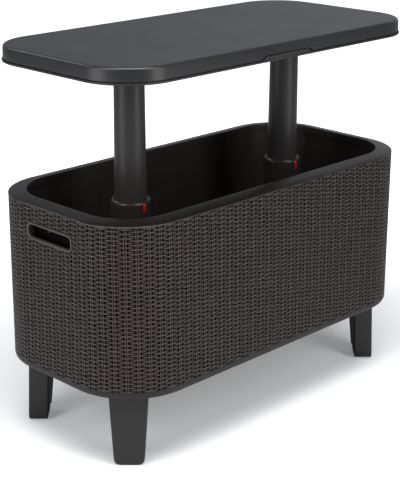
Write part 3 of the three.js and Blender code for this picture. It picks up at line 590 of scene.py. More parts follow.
# %% Closed panel with a plain back
def walled_grid(front, back, hole=None):
    """Body between a front grid (rows, columns) and a back grid that keeps only the bottom row, the
    hole's rows and the top row. hole is (first row, last row, first column, last column)."""
    row_count, columns = front.shape[:2]
    start = row_count * columns
    index = np.arange(start).reshape(row_count, columns)
    behind = start + np.arange(len(back) * columns).reshape(-1, columns)

    def strips(lower, upper):
        """Quads between rows of point numbers."""
        return np.stack([lower[..., :-1], lower[..., 1:], upper[..., 1:], upper[..., :-1]], axis=-1)

    face = strips(index[:-1], index[1:])
    rear = strips(behind[:-1], behind[1:])[..., ::-1]
    keep = np.ones(face.shape[:2], bool)
    keep_rear = np.ones(rear.shape[:2], bool)
    faces = [strips(behind[0], index[0]), strips(index[-1], behind[-1])]
    if hole:
        r0, r1, c0, c1 = hole
        keep[r0:r1, c0:c1] = False
        keep_rear[1, c0:c1] = False
        faces.append(strips(index[r0, c0:c1 + 1], behind[1, c0:c1 + 1]))
        faces.append(strips(behind[2, c0:c1 + 1], index[r1, c0:c1 + 1]))
    faces += [face[keep], rear[keep_rear]]
    upright = [(index[:, 0], behind[::-1, 0]), (index[::-1, -1], behind[:, -1])]
    if hole:
        upright.append((index[r0:r1 + 1, c0][::-1], behind[1:3, c0]))
        upright.append((index[r0:r1 + 1, c1], behind[2:0:-1, c1]))
    quads = np.concatenate([group.reshape(-1, 4) for group in faces]).tolist()
    points = np.concatenate([front.reshape(-1, 3), back.reshape(-1, 3)])
    return points, quads + [np.concatenate(edge).tolist() for edge in upright]


# %% Group: shade in hollows
def hollow_shade():
    """Node group: darkens a colour where the relief attribute says the point lies deep. Nothing changes
    up to the depth Start, and from the depth End on only the gap colour is left."""
    entries = {"Colour": (0.05, 0.05, 0.05, 1), "Gap Colour": (0.005, 0.003, 0.002, 1)}
    entries |= {"Start": 0.4, "End": 0.9}
    group, inside, outside = new_group("hollow_shade", entries, {"Colour": "Color", "Mask": "Float"})
    depth = add(group, "ShaderNodeAttribute", attribute_name="relief").outputs["Fac"]
    mask = share_between(group, depth, inside["Start"], inside["End"])
    colour = blend_colour(group, mask, inside["Colour"], inside["Gap Colour"])
    feed(group, outside, Colour=colour, Mask=mask)
    return group


hollow_group = hollow_shade()


# %% Hollow shade in a material
def shaded_in_hollows(tree, colour, start, end, gap):
    """Adds the hollow shade to a colour, links the result to the shader's base colour and returns the
    mask."""
    effect = add(tree, "ShaderNodeGroup", node_tree=hollow_group)
    feed(tree, effect, Colour=colour, Gap_Colour=gap, Start=start, End=end)
    feed(tree, tree.nodes["Principled BSDF"], Base_Color=effect.outputs["Colour"])
    return effect.outputs["Mask"]


def darken_hollows(material, start, end, gap):
    """Puts the hollow shade between a plastic's grain and its shader."""
    tree = material.node_tree
    grain = next(node for node in tree.nodes if node.type == "GROUP")
    shaded_in_hollows(tree, grain.outputs["Colour"], start, end, gap)


def mark_relief(piece, depth):
    """Stores a depth from 0 to 1 for every point of a piece."""
    attribute = piece.data.attributes.new("relief", "FLOAT", "POINT")
    attribute.data.foreach_set("value", np.ravel(depth).astype(np.float32))


def paint_faces(piece, look, chosen):
    """Gives the chosen faces of a piece a second finish."""
    piece.data.materials.append(finish[look])
    piece.data.polygons.foreach_set("material_index", np.asarray(chosen, np.int32))


# %% Finish of the wicker
def wicker_finish():
    """Warm dark plastic: strands drift in tone row by row, and streaks along the strand roughen the
    face like split cane. The hollow shade blackens the gaps, and its mask also makes them metallic:
    black metal mirrors nothing, so no gloss is left down there."""
    material, tree, shader = new_material("wicker_plastic")
    strand = add(tree, "ShaderNodeUVMap", uv_map="strand").outputs["UV"]
    stretch = add(tree, "ShaderNodeMapping")
    feed(tree, stretch, Vector=strand, Scale=(0.6, 5.0, 1.0))
    streak = noise(tree, stretch.outputs["Vector"], 1.6)
    patch = noise(tree, strand, 0.35, 2.0)
    tone = maths(tree, "ADD", maths(tree, "MULTIPLY", streak, 0.6), maths(tree, "MULTIPLY", patch, 0.4))
    cane = blend_colour(tree, tone, linear(46, 40, 38), linear(74, 66, 62))
    # Painted shade: the colour darkens with depth from the strand crests, to near black in the gaps.
    deep = shaded_in_hollows(tree, cane, 0.02, 0.3, linear(4, 2, 2))
    rough = maths(tree, "ADD", maths(tree, "MULTIPLY", streak, 0.2), 0.34)
    feed(tree, shader, Metallic=deep, Specular_IOR_Level=0.4, Roughness=rough)
    bump(tree, shader, streak, 0.25, 0.3 * mm)
    return material


finish["weave"] = wicker_finish()

# %% Finish of the well
finish["well"] = plastic("well_plastic", linear(46, 41, 38), 0.4, relief=0.08)
# Painted shade: the faces flagged in the relief attribute, the liner's grooves, turn nearly black.
darken_hollows(finish["well"], 0.1, 0.9, linear(6, 5, 4))

# %% Samples in one cell
column_samples = np.array([0, 0.75, 1.15, 2.35, 3.6, 4.2, 6.2, 8.9]) / column_pitch
column_samples = np.concatenate([column_samples, [0.5], 1 - column_samples[:0:-1]])
row_samples = np.array([0.0, 0.14, 0.29, 0.5, 0.71, 0.86])


def grid_lines(samples, first, last):
    """The samples of one cell repeated from the first cell to the last, with a closing line."""
    cells = np.arange(first, last)[:, None]
    return np.append((cells + samples).ravel(), last)


def snapped(lines, places):
    """Lines with the nearest one moved to each place, and those lines' numbers."""
    lines = lines.copy()
    numbers = [int(np.argmin(np.abs(lines - place))) for place in places]
    lines[numbers] = places
    return lines, numbers


# %% [markdown]
# One more thing before weaving: the two ends have a grip slot. The grid lines nearest to the slot's
# edges are moved onto them, and the quads between them are left out, so the hole is clean. The lip of
# the handle cup covers its edge.

# %% Places of the grip slot
handle_low, handle_high = low("handle_cup_left"), high("handle_cup_left")
under_lip = 3.7 * mm
slot_half = (handle_high[1] - handle_low[1]) / 2 - under_lip
slot_heights = (handle_low[2] + under_lip, handle_high[2] - under_lip)


def edge_length(quarter, height):
    """Way along one side of the tub from diagonal to diagonal at a height."""
    mix = (height - band_top) / (weave_top - band_top)
    length, width, radius = base_outline + (rim_outline - base_outline) * mix
    straight = (width if quarter % 2 else length) - 2 * radius
    return straight + radius * np.pi / 2


# %% One woven panel
def woven_panel(name, quarter, wide, tall, start, node, with_slot=False):
    """Panel of one side, from its first to its last column (wide) and row (tall). start is the side's
    first column counted round the whole tub, so that neighbouring panels share their unevenness."""
    in_side = end_columns if quarter % 2 else long_columns
    columns = grid_lines(column_samples, *wide)
    heights = grid_lines(row_samples, *tall)
    hole = None
    if with_slot:
        reach = slot_half / edge_length(quarter, np.mean(slot_heights))
        columns, (c0, c1) = snapped(columns, in_side * np.array([0.5 - reach, 0.5 + reach]))
        rises = (np.array(slot_heights) - band_top) / mm / row_pitch
        heights, (r0, r1) = snapped(heights, rises)
        hole = (r0, r1, c0, c1)
    column, height = np.meshgrid(columns, heights)
    depth = weave_depth(column + start, height)
    z = band_top + height * row_pitch * mm
    front = wall_point(quarter, column / in_side, z, depth * mm)
    kept = [0, r0, r1, -1] if with_slot else [0, -1]
    back = wall_point(quarter, column[kept] / in_side, z[kept], back_depth * mm)
    skin = walled_grid(front, back, hole)
    piece = add_piece(name, skin, "tub", "weave", [node], crease=180)
    mark_relief(piece, np.concatenate([depth.ravel() / deepest, np.ones(back.size // 3)]))
    strand = np.stack([column + start, height], axis=-1)
    flat = np.concatenate([strand.reshape(-1, 2), strand[kept].reshape(-1, 2)])
    corners = np.empty(len(piece.data.loops), np.int32)
    piece.data.loops.foreach_get("vertex_index", corners)
    layer = piece.data.uv_layers.new(name="strand")
    layer.data.foreach_set("uv", flat[corners].ravel().astype(np.float32))
    return piece


# %% Weave the panels
for quarter, node in enumerate(["wall_front", "wall_right", "wall_back", "wall_left"]):
    start = [0, long_columns, long_columns + end_columns, 2 * long_columns + end_columns][quarter]
    name = node.replace("wall", "weave")
    if quarter % 2:
        woven_panel(f"{name}_low", quarter, (0, end_columns), (0, rows // 2), start, node)
        woven_panel(f"{name}_high", quarter, (0, end_columns), (rows // 2, rows), start, node, True)
        continue
    third = long_columns // 3
    for part in range(3):
        wide = (part * third, (part + 1) * third)
        woven_panel(f"{name}_{part + 1}", quarter, wide, (0, rows), start, node)


# %% [markdown]
# ## Base pan and rim
#
# Below the weave the tub ends in a plain rounded band, and above it in a satin rim that slopes up a
# little towards the opening. Both are closed profiles carried round an outline. The pan's profile goes
# in under the tub as far as the drain hole, so its floor needs no cap. The rim has a skirt on the
# inside, which is as dull as the liner below it and painted lighter than the rim: painted light on a
# face that lies in shade.

# %% Base pan
drain_hole = np.array([28.8, 28.8, 14.0]) * mm
pan_levels = soft_levels([
    (drain_hole, 0, leg_height, 0, 0),
    (base_outline, 0, leg_height, 0, 6.5),
    (base_outline, 0, band_top, 0, 0.8),
    (base_outline, 4.9, band_top, 0, 0.4),
    (base_outline, 4.9, band_top, 12, 0),
    (base_outline, 7.9, band_top, 12, 0),
    (base_outline, 7.9, leg_height, 4, 0),
    (drain_hole, 0, leg_height, 4, 0),
], steps=8)
pan_skin = loft(around(stations(24), pan_levels), ring=True)
add_piece("base_band", pan_skin, "tub", "leg", ["base_pan"], look="band")

# %% Rim frame
slope_outline = rim_outline + (opening_outline - rim_outline) * 0.3
rim_levels = soft_levels([
    (rim_outline, 0, weave_top, 0, 0.2),
    (rim_outline, 0, weave_top, 2.2, 1.8),
    (slope_outline, 0, weave_top, 4.8, 7),
    (opening_outline, -3, rim_top, 0, 1.5),
    (opening_outline, 0, rim_top, -0.6, 1.2),
    (opening_outline, 0, rim_top, -15, 0),
    (opening_outline, -2.5, rim_top, -15, 0),
    (opening_outline, -2.5, rim_top, -3.2, 0),
    (rim_outline, 5, weave_top, 0, 0),
], steps=5, closed=True)
rim_skin = loft(around(stations(28), rim_levels), ring=True)
rim = add_piece("rim_ring", rim_skin, "tub", "rim", ["rim_frame"])
on_skirt = (rim_levels[:, 0] < opening_outline[0] + 0.5 * mm) & (rim_levels[:, 3] < rim_top - 1.5 * mm)
# The inner skirt's faces get the lighter copy, painted light on a shaded face.
paint_faces(rim, "rim_skirt_painted_light", np.repeat(on_skirt, len(rim_skin[1]) // len(rim_levels)))

# %% [markdown]
# ## The liner
#
# The well is a smooth tub of dark plastic with a little draft, so that it leaves the mould and so that
# ice slides out. Fine upright grooves divide its long walls. Its flange hangs on a ledge under the rim.
# Seen from above it is the darkest face of the whole table. The grooves are painted dark as shade, with
# the hollow shade of the wicker.

# %% Liner
well_nodes = ["liner_floor", "liner_left", "liner_right"]
groove_places = np.arange(-3, 4) * 75 * mm
groove_half, groove_depth = 1.1 * mm, 0.5 * mm
flange_top = high("liner_left")[2]
floor_top = low("liner_left")[2] - 8.15 * mm
liner_levels = soft_levels([
    (drain_hole, 0, floor_top, -3, 0),
    (opening_outline, 1, floor_top, -3, 10),
    (opening_outline, -7, flange_top, -2.5, 2),
    (rim_outline, 3.6, flange_top, -2.5, 0.5),
    (rim_outline, 3.6, flange_top, 0, 0.5),
    (opening_outline, -4, flange_top, 0, 2),
    (opening_outline, 4, floor_top, 0, 9),
    (drain_hole, 0, floor_top, 0, 0),
], steps=6)
groove_marks = (groove_places[:, None] + np.array([-1, 0, 1]) * groove_half).ravel()
straight_well = opening_outline[0] - 2 * opening_outline[2]
front_shares = groove_marks / straight_well + 0.5
groove_stops = stations(24, front_shares, 1 - front_shares)
liner_loops = around(groove_stops, liner_levels)
on_wall = (liner_loops[..., 2] > floor_top + 6 * mm) & (liner_loops[..., 2] < flange_top - 1 * mm)
on_groove = np.min(np.abs(liner_loops[..., :1] - groove_places), axis=-1) < 0.5 * mm
facing_in = np.arange(len(liner_levels))[:, None] > np.argmax(liner_levels[:, 3])
grooved = on_wall & on_groove & facing_in
liner_loops[..., 1] += np.sign(liner_loops[..., 1]) * grooved * groove_depth
liner_skin = loft(liner_loops, ring=True)
liner = add_piece("well_liner", liner_skin, "tub", "liner", well_nodes, look="well", crease=12)
# The grooves are flagged for painted shade.
mark_relief(liner, grooved)


# %% [markdown]
# ## Shapes lofted sideways
#
# A leg, a handle cup and the tab of the finger pull have in common that they were drawn from the front
# and given a depth. Their loops stand upright: an outline with round corners, drawn in by an inset and
# pushed back by a depth, level after level. A leg is a shell, so its levels go over the front edge, back
# along the sides, round the open rear edge and in again to the inside of its face.

# %% Upright loops
def trapezoid(low_half, high_half, bottom, top, low_radius, high_radius, inset=0.0, steps=8):
    """Loop of (across, up) points, anticlockwise: a trapezoid with round corners and an inset."""
    slope = (high_half - low_half) / (top - bottom)
    low_half, high_half = low_half + slope * inset - inset, high_half - slope * inset - inset
    bottom, top = bottom + inset, top - inset
    corners = [[-low_half, bottom], [low_half, bottom], [high_half, top], [-high_half, top]]
    radii = np.array([low_radius, low_radius, high_radius, high_radius]) - inset
    return softened(corners, np.maximum(radii, 0.2 * mm), steps, closed=True)


# %% One leg
leg_set_in = 30 * mm
leg_splay = 6.5 * mm
leg_low_half, leg_high_half = 28.6 * mm, 37.6 * mm
leg_wall = 4 * mm
rib_places, rib_half = (-18 * mm, 18 * mm), 1.5 * mm
leg_top = leg_height - 0.3 * mm
leg_centre = base_outline[:2] / 2 - base_outline[2]
leg_reach = base_outline[2] - leg_set_in


def leg_skin():
    """One leg, facing +X from its corner's centre: shell levels of inset and depth behind the face, and
    two ribs behind it."""
    rows = np.array([[7, 0], [0, 0], [0, 37.5], [leg_wall / mm, 37.5], [leg_wall / mm, 4]]) * mm
    levels = softened(rows, np.array([0, 3.2, 1.2, 1.2, 0]) * mm, 4)
    loops = []
    for inset, depth in levels:
        flat = trapezoid(leg_low_half, leg_high_half, 0, leg_top, 14 * mm, 1.5 * mm, inset)
        across, up = flat.T
        loops.append(in_space(leg_reach + leg_splay * (1 - up / leg_top) - depth, across, up))
    shell = loft(loops)
    ribs = []
    for middle in rib_places:
        side = np.array([[3, 2], [3, 143], [48, 143], [41, 17], [24, 8]]) * mm
        depth, up = softened(side, 2.5 * mm, 3, closed=True).T
        x = leg_reach + leg_splay * (1 - up / leg_top) - depth
        ribs.append(loft([in_space(x, middle + across, up) for across in (-rib_half, rib_half)]))
    return merged(shell, *ribs)


# %% Legs
leg_points, leg_faces = leg_skin()
for end, side_x in (("left", -1), ("right", 1)):
    for edge, side_y in (("front", -1), ("back", 1)):
        turn = np.arctan2(side_y, side_x)
        spin = np.array([[np.cos(turn), np.sin(turn), 0], [-np.sin(turn), np.cos(turn), 0], [0, 0, 1]])
        placed = leg_points @ spin + [side_x * leg_centre[0], side_y * leg_centre[1], 0]
        name = f"{edge}_{end}"
        add_piece(f"moulded_leg_{name}", (placed, leg_faces), "tub", "leg", [f"leg_{name}"])

# %% [markdown]
# The grip in each end is a shallow cup with a smooth lip that lies on the weave. Inside the left one a
# short hook hangs from the top edge.

# %% Cup and hook
cup_half, cup_low, cup_high = handle_high[1], handle_low[2], handle_high[2]
cup_mouth, cup_radius = -handle_low[0], 14 * mm
cup_levels = softened(
    np.array([[1, 21.4], [1, 1.1], [0, 1.1], [0, 0], [4, 0], [4, 19.4]]) * mm,
    np.array([0, 0, 0.3, 1.0, 1.3, 1.5]) * mm,
    4,
)


def cup_skin(side):
    """Cup facing out of one end: upright loops from the hidden rear, over the lip, into the pocket."""
    loops = []
    for inset, depth in cup_levels:
        flat = trapezoid(cup_half, cup_half, cup_low, cup_high, cup_radius, cup_radius, inset)
        loops.append(in_space(side * (cup_mouth - depth), side * flat[:, 0], flat[:, 1]))
    return loft(loops)


def hook_skin():
    """Rounded block under the top edge of the left pocket."""
    x0, x1 = -(cup_mouth - 3.4 * mm), -(cup_mouth - 7.4 * mm)
    half, bottom, top = 4 * mm, cup_high - 9 * mm, cup_high - 2 * mm
    block = []
    for inset, x in softened([[1 * mm, x1], [0, x1], [0, x0], [1 * mm, x0]], 0.8 * mm, 3):
        flat = trapezoid(half, half, bottom, top, 1.6 * mm, 0.5 * mm, inset)
        block.append(in_space(x, 2 * mm - flat[:, 0], flat[:, 1]))
    return loft(block)


# %% Handle cups
# Painted shade: the cups darken deeper into the pocket, to near black, and the pocket faces get a dull
# finish with little gloss.
for part in ("cup", "pocket"):
    darken_hollows(finish[part], 0.0, 0.5, linear(12, 5, 4))

for side, skin in (("left", merged(cup_skin(-1), hook_skin())), ("right", cup_skin(1))):
    grip = add_piece(f"grip_{side}", skin, "tub", "rim", [f"handle_cup_{side}"], look="cup")
    behind_lip = cup_mouth - np.abs(skin[0][:, 0])
    # The pocket's end walls, which light reaches, get less painted shade.
    painted_shade_share = np.where(np.abs(skin[0][:, 1]) > cup_half - 6 * mm, 0.35, 1)
    mark_relief(grip, painted_shade_share * np.clip((behind_lip - 1.5 * mm) / (9 * mm), 0, 1))
    centres = np.empty(3 * len(grip.data.polygons))
    grip.data.polygons.foreach_get("center", centres)
    paint_faces(grip, "pocket", cup_mouth - np.abs(centres[::3]) > 2.2 * mm)

# %% [markdown]
# ## The table top
#
# Two mouldings make the table top. The upper one is a tray turned over, with a skirt that leans in very
# slightly and a soft edge that catches the light all the way round. In the middle of the front its skirt
# is cut away for the finger pull. The lower moulding carries the thin lip that shows under a dark gap,
# and behind the cut-away it fills the pull with a tab.

# %% Upper moulding
pull_half_low, pull_half_high, pull_height = 72 * mm, 62 * mm, 7.5 * mm
skirt_bottom = lip_bottom + 5.3 * mm
notch_marks = np.array([-73, -72, -69, -65, -62.5, -61.5, 61.5, 62.5, 65, 69, 72, 73]) * mm
straight_length = lid_outline[0] - 2 * lid_outline[2]
lid_stops = stations(28, notch_marks / straight_length + 0.5)
lid_levels = soft_levels([
    (lid_outline, 14, lid_top, -3.5, 0),
    (lid_outline, 5.6, lid_top, -3.5, 2),
    (lid_outline, 5, skirt_bottom, 0, 0.8),
    (lid_outline, 2, skirt_bottom, 0, 1.1),
    (lid_outline, 2.6, lid_top, 0, 6.5),
    (lid_outline, 20, lid_top, 0, 0),
    (lid_outline, 26, lid_top, 0, 0),
], steps=7)
lid_loops = around(lid_stops, lid_levels)
across = np.abs(lid_loops[..., 0])
in_pull = (lid_loops[..., 1] < 0) & (across < pull_half_low)
into_pull = np.clip((pull_half_low - across) / (pull_half_low - pull_half_high), 0, 1)
ceiling = skirt_bottom + into_pull * pull_height
lid_loops[..., 2] = np.where(in_pull, np.maximum(lid_loops[..., 2], ceiling), lid_loops[..., 2])
add_piece("top_shell", loft(lid_loops), "table_top", "lid", ["lid_top"])

# %% Lower moulding
lip_top = lip_bottom + 4.1 * mm
panel_levels = soft_levels([
    (plug_outline, 8, lip_bottom, -7.5, 0),
    (plug_outline, 1, lip_bottom, -7.5, 2),
    (plug_outline, 0, lip_bottom, 3.2, 1),
    (lid_outline, 5, lip_bottom, 3.2, 1),
    (lid_outline, 5, lip_bottom, 0, 0.8),
    (lid_outline, 0, lip_bottom, 0, 1.2),
    (lid_outline, 0, lip_top, 0, 1.2),
    (lid_outline, 3, lip_top, -1.1, 0.4),
    (lid_outline, 5.3, lip_top, -1.1, 0.4),
    (lid_outline, 5.3, lip_bottom, 12.5, 0.5),
    (lid_outline, 8.3, lip_bottom, 12.5, 0),
])
panel_skin = loft(around(stations(28), panel_levels))

# %% Tab of the pull and sockets of the poles
tab_half_low, tab_half_high, tab_top = 66.5 * mm, 57 * mm, skirt_bottom + 5.2 * mm
tab_loops = []
for inset, depth in softened(np.array([[2, 1.1], [0, 1.1], [0, 3.7]]) * mm, [0, 0.5 * mm, 0], 3):
    flat = trapezoid(tab_half_low, tab_half_high, lip_top - 1 * mm, tab_top, 0.4 * mm, 1 * mm, inset)
    tab_loops.append(in_space(flat[:, 0], -lid_outline[1] / 2 + depth, flat[:, 1]))
pole_places = {side: axis(f"lift_pole_{side}") for side in ("left", "right")}
boss = [(28.0, -7), (32.2, -7), (32.2, -12.4), (29.4, -12.4), (28.9, -7.5)]
boss = soft_profile([(radius, lip_bottom, above, 0.5) for radius, above in boss], 3, closed=True)
socket_skins = [turned(boss, centre=centre, ring=True) for centre in pole_places.values()]
lower_skin = merged(panel_skin, loft(tab_loops), *socket_skins)
add_piece("top_underside", lower_skin, "table_top", "lid_underside", ["lid_bottom"])


# %% [markdown]
# ## Poles, collars and buttons
#
# The poles taper by a few millimetres from foot to top. Round the foot of each sits a collar with a
# rounded shoulder, and in its front a red button in a slot of its own shape. A slot like that is easier
# to cut than to model: the collar is turned whole, and a boolean takes the button's outline out of it.

# %% Cutting one piece by another
def cut(piece, cutter_skin, crease=35):
    """Takes a closed skin out of a piece with an exact boolean, and keeps the result as its mesh."""
    cutter = new_object("cutter", skin_mesh("cutter", cutter_skin))
    modifier = piece.modifiers.new("cut", "BOOLEAN")
    modifier.operation = "DIFFERENCE"
    modifier.solver = "EXACT"
    modifier.object = cutter
    bpy.context.view_layer.update()
    shaped = piece.evaluated_get(bpy.context.evaluated_depsgraph_get())
    result = bpy.data.meshes.new_from_object(shaped)
    piece.modifiers.clear()
    piece.data = result
    bpy.data.objects.remove(cutter)
    result.shade_smooth()
    result.set_sharp_from_angle(angle=np.radians(crease))
    print(f"{piece.name}: {len(result.vertices)} points after the cut")


# %% Pill-shaped loops
def pill(half_width, bottom, top, inset, steps=10):
    """Upright slot outline of (across, up): two half circles joined by straight sides."""
    radius = half_width - inset
    angle = np.linspace(0, np.pi, steps + 1)
    upper = np.stack([radius * np.cos(angle), top - half_width + radius * np.sin(angle)], axis=-1)
    lower = np.stack([-radius * np.cos(angle), bottom + half_width - radius * np.sin(angle)], axis=-1)
    return np.concatenate([upper, lower])


def pill_skin(centre, half_width, bottom, top, levels):
    """Loft of pill outlines along Y, facing -Y. levels hold inset and distance in front of the axis."""
    loops = []
    for inset, reach in levels:
        flat = pill(half_width, bottom, top, inset)
        loops.append(in_space(centre[0] + flat[:, 0], centre[1] - reach, flat[:, 1]))
    return loft(loops)


# %% Pole and collar
pole_foot, pole_head, pole_wall, collar_outer = 31.5, 28.7, 3.2, 38.9
round_steps = 96


def pole_skin(side, centre):
    """Tapered pole, with a dish in its hidden head."""
    foot, head = heights(f"lift_pole_{side}")
    profile = soft_profile([
        (pole_foot - pole_wall, foot, 0, 0),
        (pole_foot, foot, 0, 1.2),
        (pole_head, head, 0, 0.8),
        (pole_head - pole_wall, head, 0, 0),
        (pole_head - pole_wall, head, -4, 0),
    ], 3)
    return turned(profile, round_steps, centre)


def collar_skin(side, centre):
    """Collar round the pole's foot: a wall with a rounded shoulder that leads in to the pole."""
    base, top = heights(f"collar_{side}")
    inner, bore = collar_outer - 1.9, pole_foot + 0.6
    profile = soft_profile([
        (inner, base, 0, 0),
        (collar_outer, base, 0, 0.8),
        (collar_outer, top, -4.2, 3),
        (collar_outer - 3.4, top, 0, 2.5),
        (bore, top, 0, 0.6),
        (bore, top, -3.5, 0),
        (inner, top, -3.5, 0),
    ], 6, closed=True)
    return turned(profile, round_steps, centre, ring=True)


# %% Button and sleeve
def button_skins(side, centre):
    """The slot to cut out of a collar, and the button in it: smaller all round by its play, with a bead
    for a front."""
    first, last = low(f"release_button_{side}"), high(f"release_button_{side}")
    half, reach, play = (last[0] - first[0]) / 2, centre[1] - first[1], 0.35 * mm
    through = [[-0.3 * mm, 30 * mm], [-0.3 * mm, reach + 4 * mm]]
    bead = softened(
        [[0, centre[1] - last[1]], [0, reach - 1.9 * mm], [half * 0.45, reach], [half * 0.8, reach]],
        [0, 0.6 * mm, 2 * mm, 0], 6,
    )
    slot_skin = pill_skin(centre, half, first[2], last[2], through)
    return slot_skin, pill_skin(centre, half - play, first[2] + play, last[2] - play, bead)


def sleeve_skin(side, centre):
    """Tube that a pole slides in, on a round foot."""
    base, top = heights(f"pole_sleeve_{side}")
    profile = soft_profile([
        (33.9, base, 0, 0),
        (48.7, base, 0, 0.5),
        (48.7, base, 7, 1.5),
        (36.7, base, 7, 3),
        (36.7, top, 0, 0.4),
        (33.9, top, 0, 0.4),
    ], closed=True)
    return turned(profile, round_steps, centre, ring=True)


# %% Poles, collars, buttons and sleeves
for side, centre in pole_places.items():
    add_piece(f"pole_{side}", pole_skin(side, centre), "table_top", "pole", [f"lift_pole_{side}"])
    skin = collar_skin(side, centre)
    collar = add_piece(f"pole_collar_{side}", skin, "tub", "collar", [f"collar_{side}"])
    slot_skin, skin = button_skins(side, centre)
    cut(collar, slot_skin)
    add_piece(f"red_button_{side}", skin, f"button_{side}", "button", [f"release_button_{side}"])
    skin = sleeve_skin(side, centre)
    add_piece(f"pole_guide_{side}", skin, "tub", "liner", [f"pole_sleeve_{side}"])

# %% [markdown]
# ## Leaf springs
#
# Behind each latch ring a thin steel leaf bows back when the button is pushed. A straight bar can't do
# that, so each leaf is two halves that meet in its middle. Each half is listed with the tub, which holds
# its outer end, and the button's body, which pushes its inner end, but here it is only fixed in place.

# %% Leaf springs
def half_leaf(side, way):
    """Half of a leaf: upright rectangles of thickness and height, set from its middle to its end."""
    first, last = low(f"latch_spring_{side}"), high(f"latch_spring_{side}")
    (front, bottom), (back, top) = first[1:], last[1:]
    section = np.array([[front, bottom], [back, bottom], [back, top], [front, top]])
    stops = (first[0] + last[0]) / 2 + way * np.linspace(0, (last[0] - first[0]) / 2, 13)
    return loft([np.insert(section, 0, stop, axis=1) for stop in stops])


for side, centre in pole_places.items():
    for way, half_name in ((-1, "a"), (1, "b")):
        held, pushed = ([centre[0] + way * reach * mm, 0, 0] for reach in (15.3, 0.5))
        bend = ("tub", f"button_{side}", held, pushed)
        name = f"leaf_spring_{side}_{half_name}"
        add_piece(name, half_leaf(side, way), bend, "steel", [f"latch_spring_{side}"])

# %% [markdown]
# ## Drain
#
# In the middle of the floor a flanged fitting leads out under the tub, held by a nut and closed by a
# ribbed cap. The ribs are a bump on the radius, repeated round the cap.

# %% Drain fitting
fit_low, fit_high = heights("drain_fitting")
fitting = soft_profile([
    (10, fit_low, 0, 0),
    (14, fit_low, 0, 0.6),
    (14, fit_high, -3.2, 0),
    (22, fit_high, -3.2, 0.3),
    (22, fit_high, -2.4, 0.5),
    (10, fit_high, 0, 1),
], closed=True)
add_piece("drain_flange", turned(fitting, ring=True), "tub", "liner", ["drain_fitting"])

# %% Drain cap
cap_low, cap_high = heights("drain_cap")
cap = soft_profile([
    (12, cap_low, 0, 0),
    (17.3, cap_low, 0, 1.4),
    (17.3, cap_high, 0, 0.6),
    (14.3, cap_high, 0, 0.4),
    (14.3, cap_low, 3, 0.5),
    (8, cap_low, 3, 0),
])
cap_ribs, rib_height, cap_steps = 8, 1.9 * mm, 128
angle = np.arange(cap_steps) * 2 * np.pi / cap_steps
rib = rib_height * np.clip(np.cos(cap_ribs * angle), 0, 1) ** 2
radius = cap[:, :1] + rib * np.clip((cap[:, :1] - 16 * mm) / (1.3 * mm), 0, 1)
cap_loops = in_space(radius * np.cos(angle), radius * np.sin(angle), cap[:, 1:])
add_piece("drain_knob", loft(cap_loops), "drain_cap", "leg", ["drain_cap"])


# %% [markdown]
# ## Screws
#
# Twenty-two screws hold the table together. Each head has a cross recess: a dip in the head's height
# wherever the point lies on either arm of the cross. One mesh function serves them all.

# %% Screws
recess_depth, arm_half = 1.2 * mm, 0.55 * mm


def screw_skin(base, tip, centre):
    """Screw along Z with its head at base and its tip at tip, which may lie below. The first rings of
    the head dip on the cross's arms."""
    way = np.sign(tip - base)
    steps = 48
    angle = np.arange(steps) * 2 * np.pi / steps
    rings = [[0.3, 0.0], [0.8, 0.0], [1.6, 0.02], [2.4, 0.1], [3.2, 0.3], [4.1, 0.8], [4.5, 1.4]]
    length = abs(tip - base) / mm
    rings += [[4.5, 2.6], [2.2, 2.6], [2.2, length - 2], [0.3, length]]
    loops = []
    for radius, height in np.array(rings) * mm:
        x, y = radius * np.cos(angle), radius * np.sin(angle)
        arm = np.minimum(np.abs(x), np.abs(y)) < arm_half
        on_cross = arm & (radius < 2.5 * mm) & (height < 0.5 * mm)
        z = base + way * (height + np.where(on_cross, recess_depth, 0))
        loops.append(in_space(centre[0] + x, centre[1] + way * -y, z))
    return loft(loops)


for name in sorted(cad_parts):
    if "screw" not in name:
        continue
    base, tip = heights(name)
    if name.startswith("pole_screw"):
        base, tip = tip, base
    body = "table_top" if name.startswith(("lid", "pole")) else "tub"
    skin = screw_skin(base, tip, axis(name))
    add_piece(name.replace("screw", "fixing"), skin, body, "steel", [name])

# %% [markdown]
# ## Pieces that keep their frame shape
#
# Bushes, latch rings and gaskets sit inside the collars and under the sleeves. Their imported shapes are
# right, so they only get a finish.

# %% Finishes for the inner pieces
kept = {"latch": "steel", "gasket": "rubber", "bush": "collar", "drain_nut": "liner"}
for name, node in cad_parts.items():
    for word, slot in kept.items():
        if word in name:
            node.data.materials.clear()
            node.data.materials.append(finish[slot])
            print(f"{name}: {slot}")

# %% [markdown]
# ## Camera
#
# The photograph was taken from the front left, a little above the table top. Its vanishing lines give
# the lens and the place, and a small shift puts the horizon where the picture's crop left it.

# %% Camera
camera_data = bpy.data.cameras.new("camera")
camera_data.lens = 96.19
camera_data.sensor_width = 36
camera_data.shift_x = 0.0211
camera_data.shift_y = -0.0250
camera_data.clip_end = 50
camera = new_object("camera", camera_data)
camera.location = (-1.8007, -1.7546, 1.1859)
camera.rotation_euler = np.radians([71.53, -0.05, -44.777])
bpy.context.scene.camera = camera

# %% [markdown]
# ## Studio
#
# A white sweep and large soft lamps from above. Two narrow strips stand on the floor, one on the left
# and one in front: on the round poles and corners they leave two upright highlights, since a camera
# that looks down sees low things mirrored in upright walls. A last lamp behind the table draws the
# thin light line along the top's left edge. The camera sees a white background. The table itself sees
# a dim room with a pale sweep behind it, which lays a haze on the flat top.

# %% Floor
near_glow = 0.2
white_from, white_at = 0.5, 1.6
floor_reach = 12.0


def seen_by_camera(tree):
    """1 for rays that come from the camera, straight or through something clear, and 0 for others."""
    path = add(tree, "ShaderNodeLightPath").outputs
    return maths(tree, "MAXIMUM", path["Is Camera Ray"], path["Is Transmission Ray"])


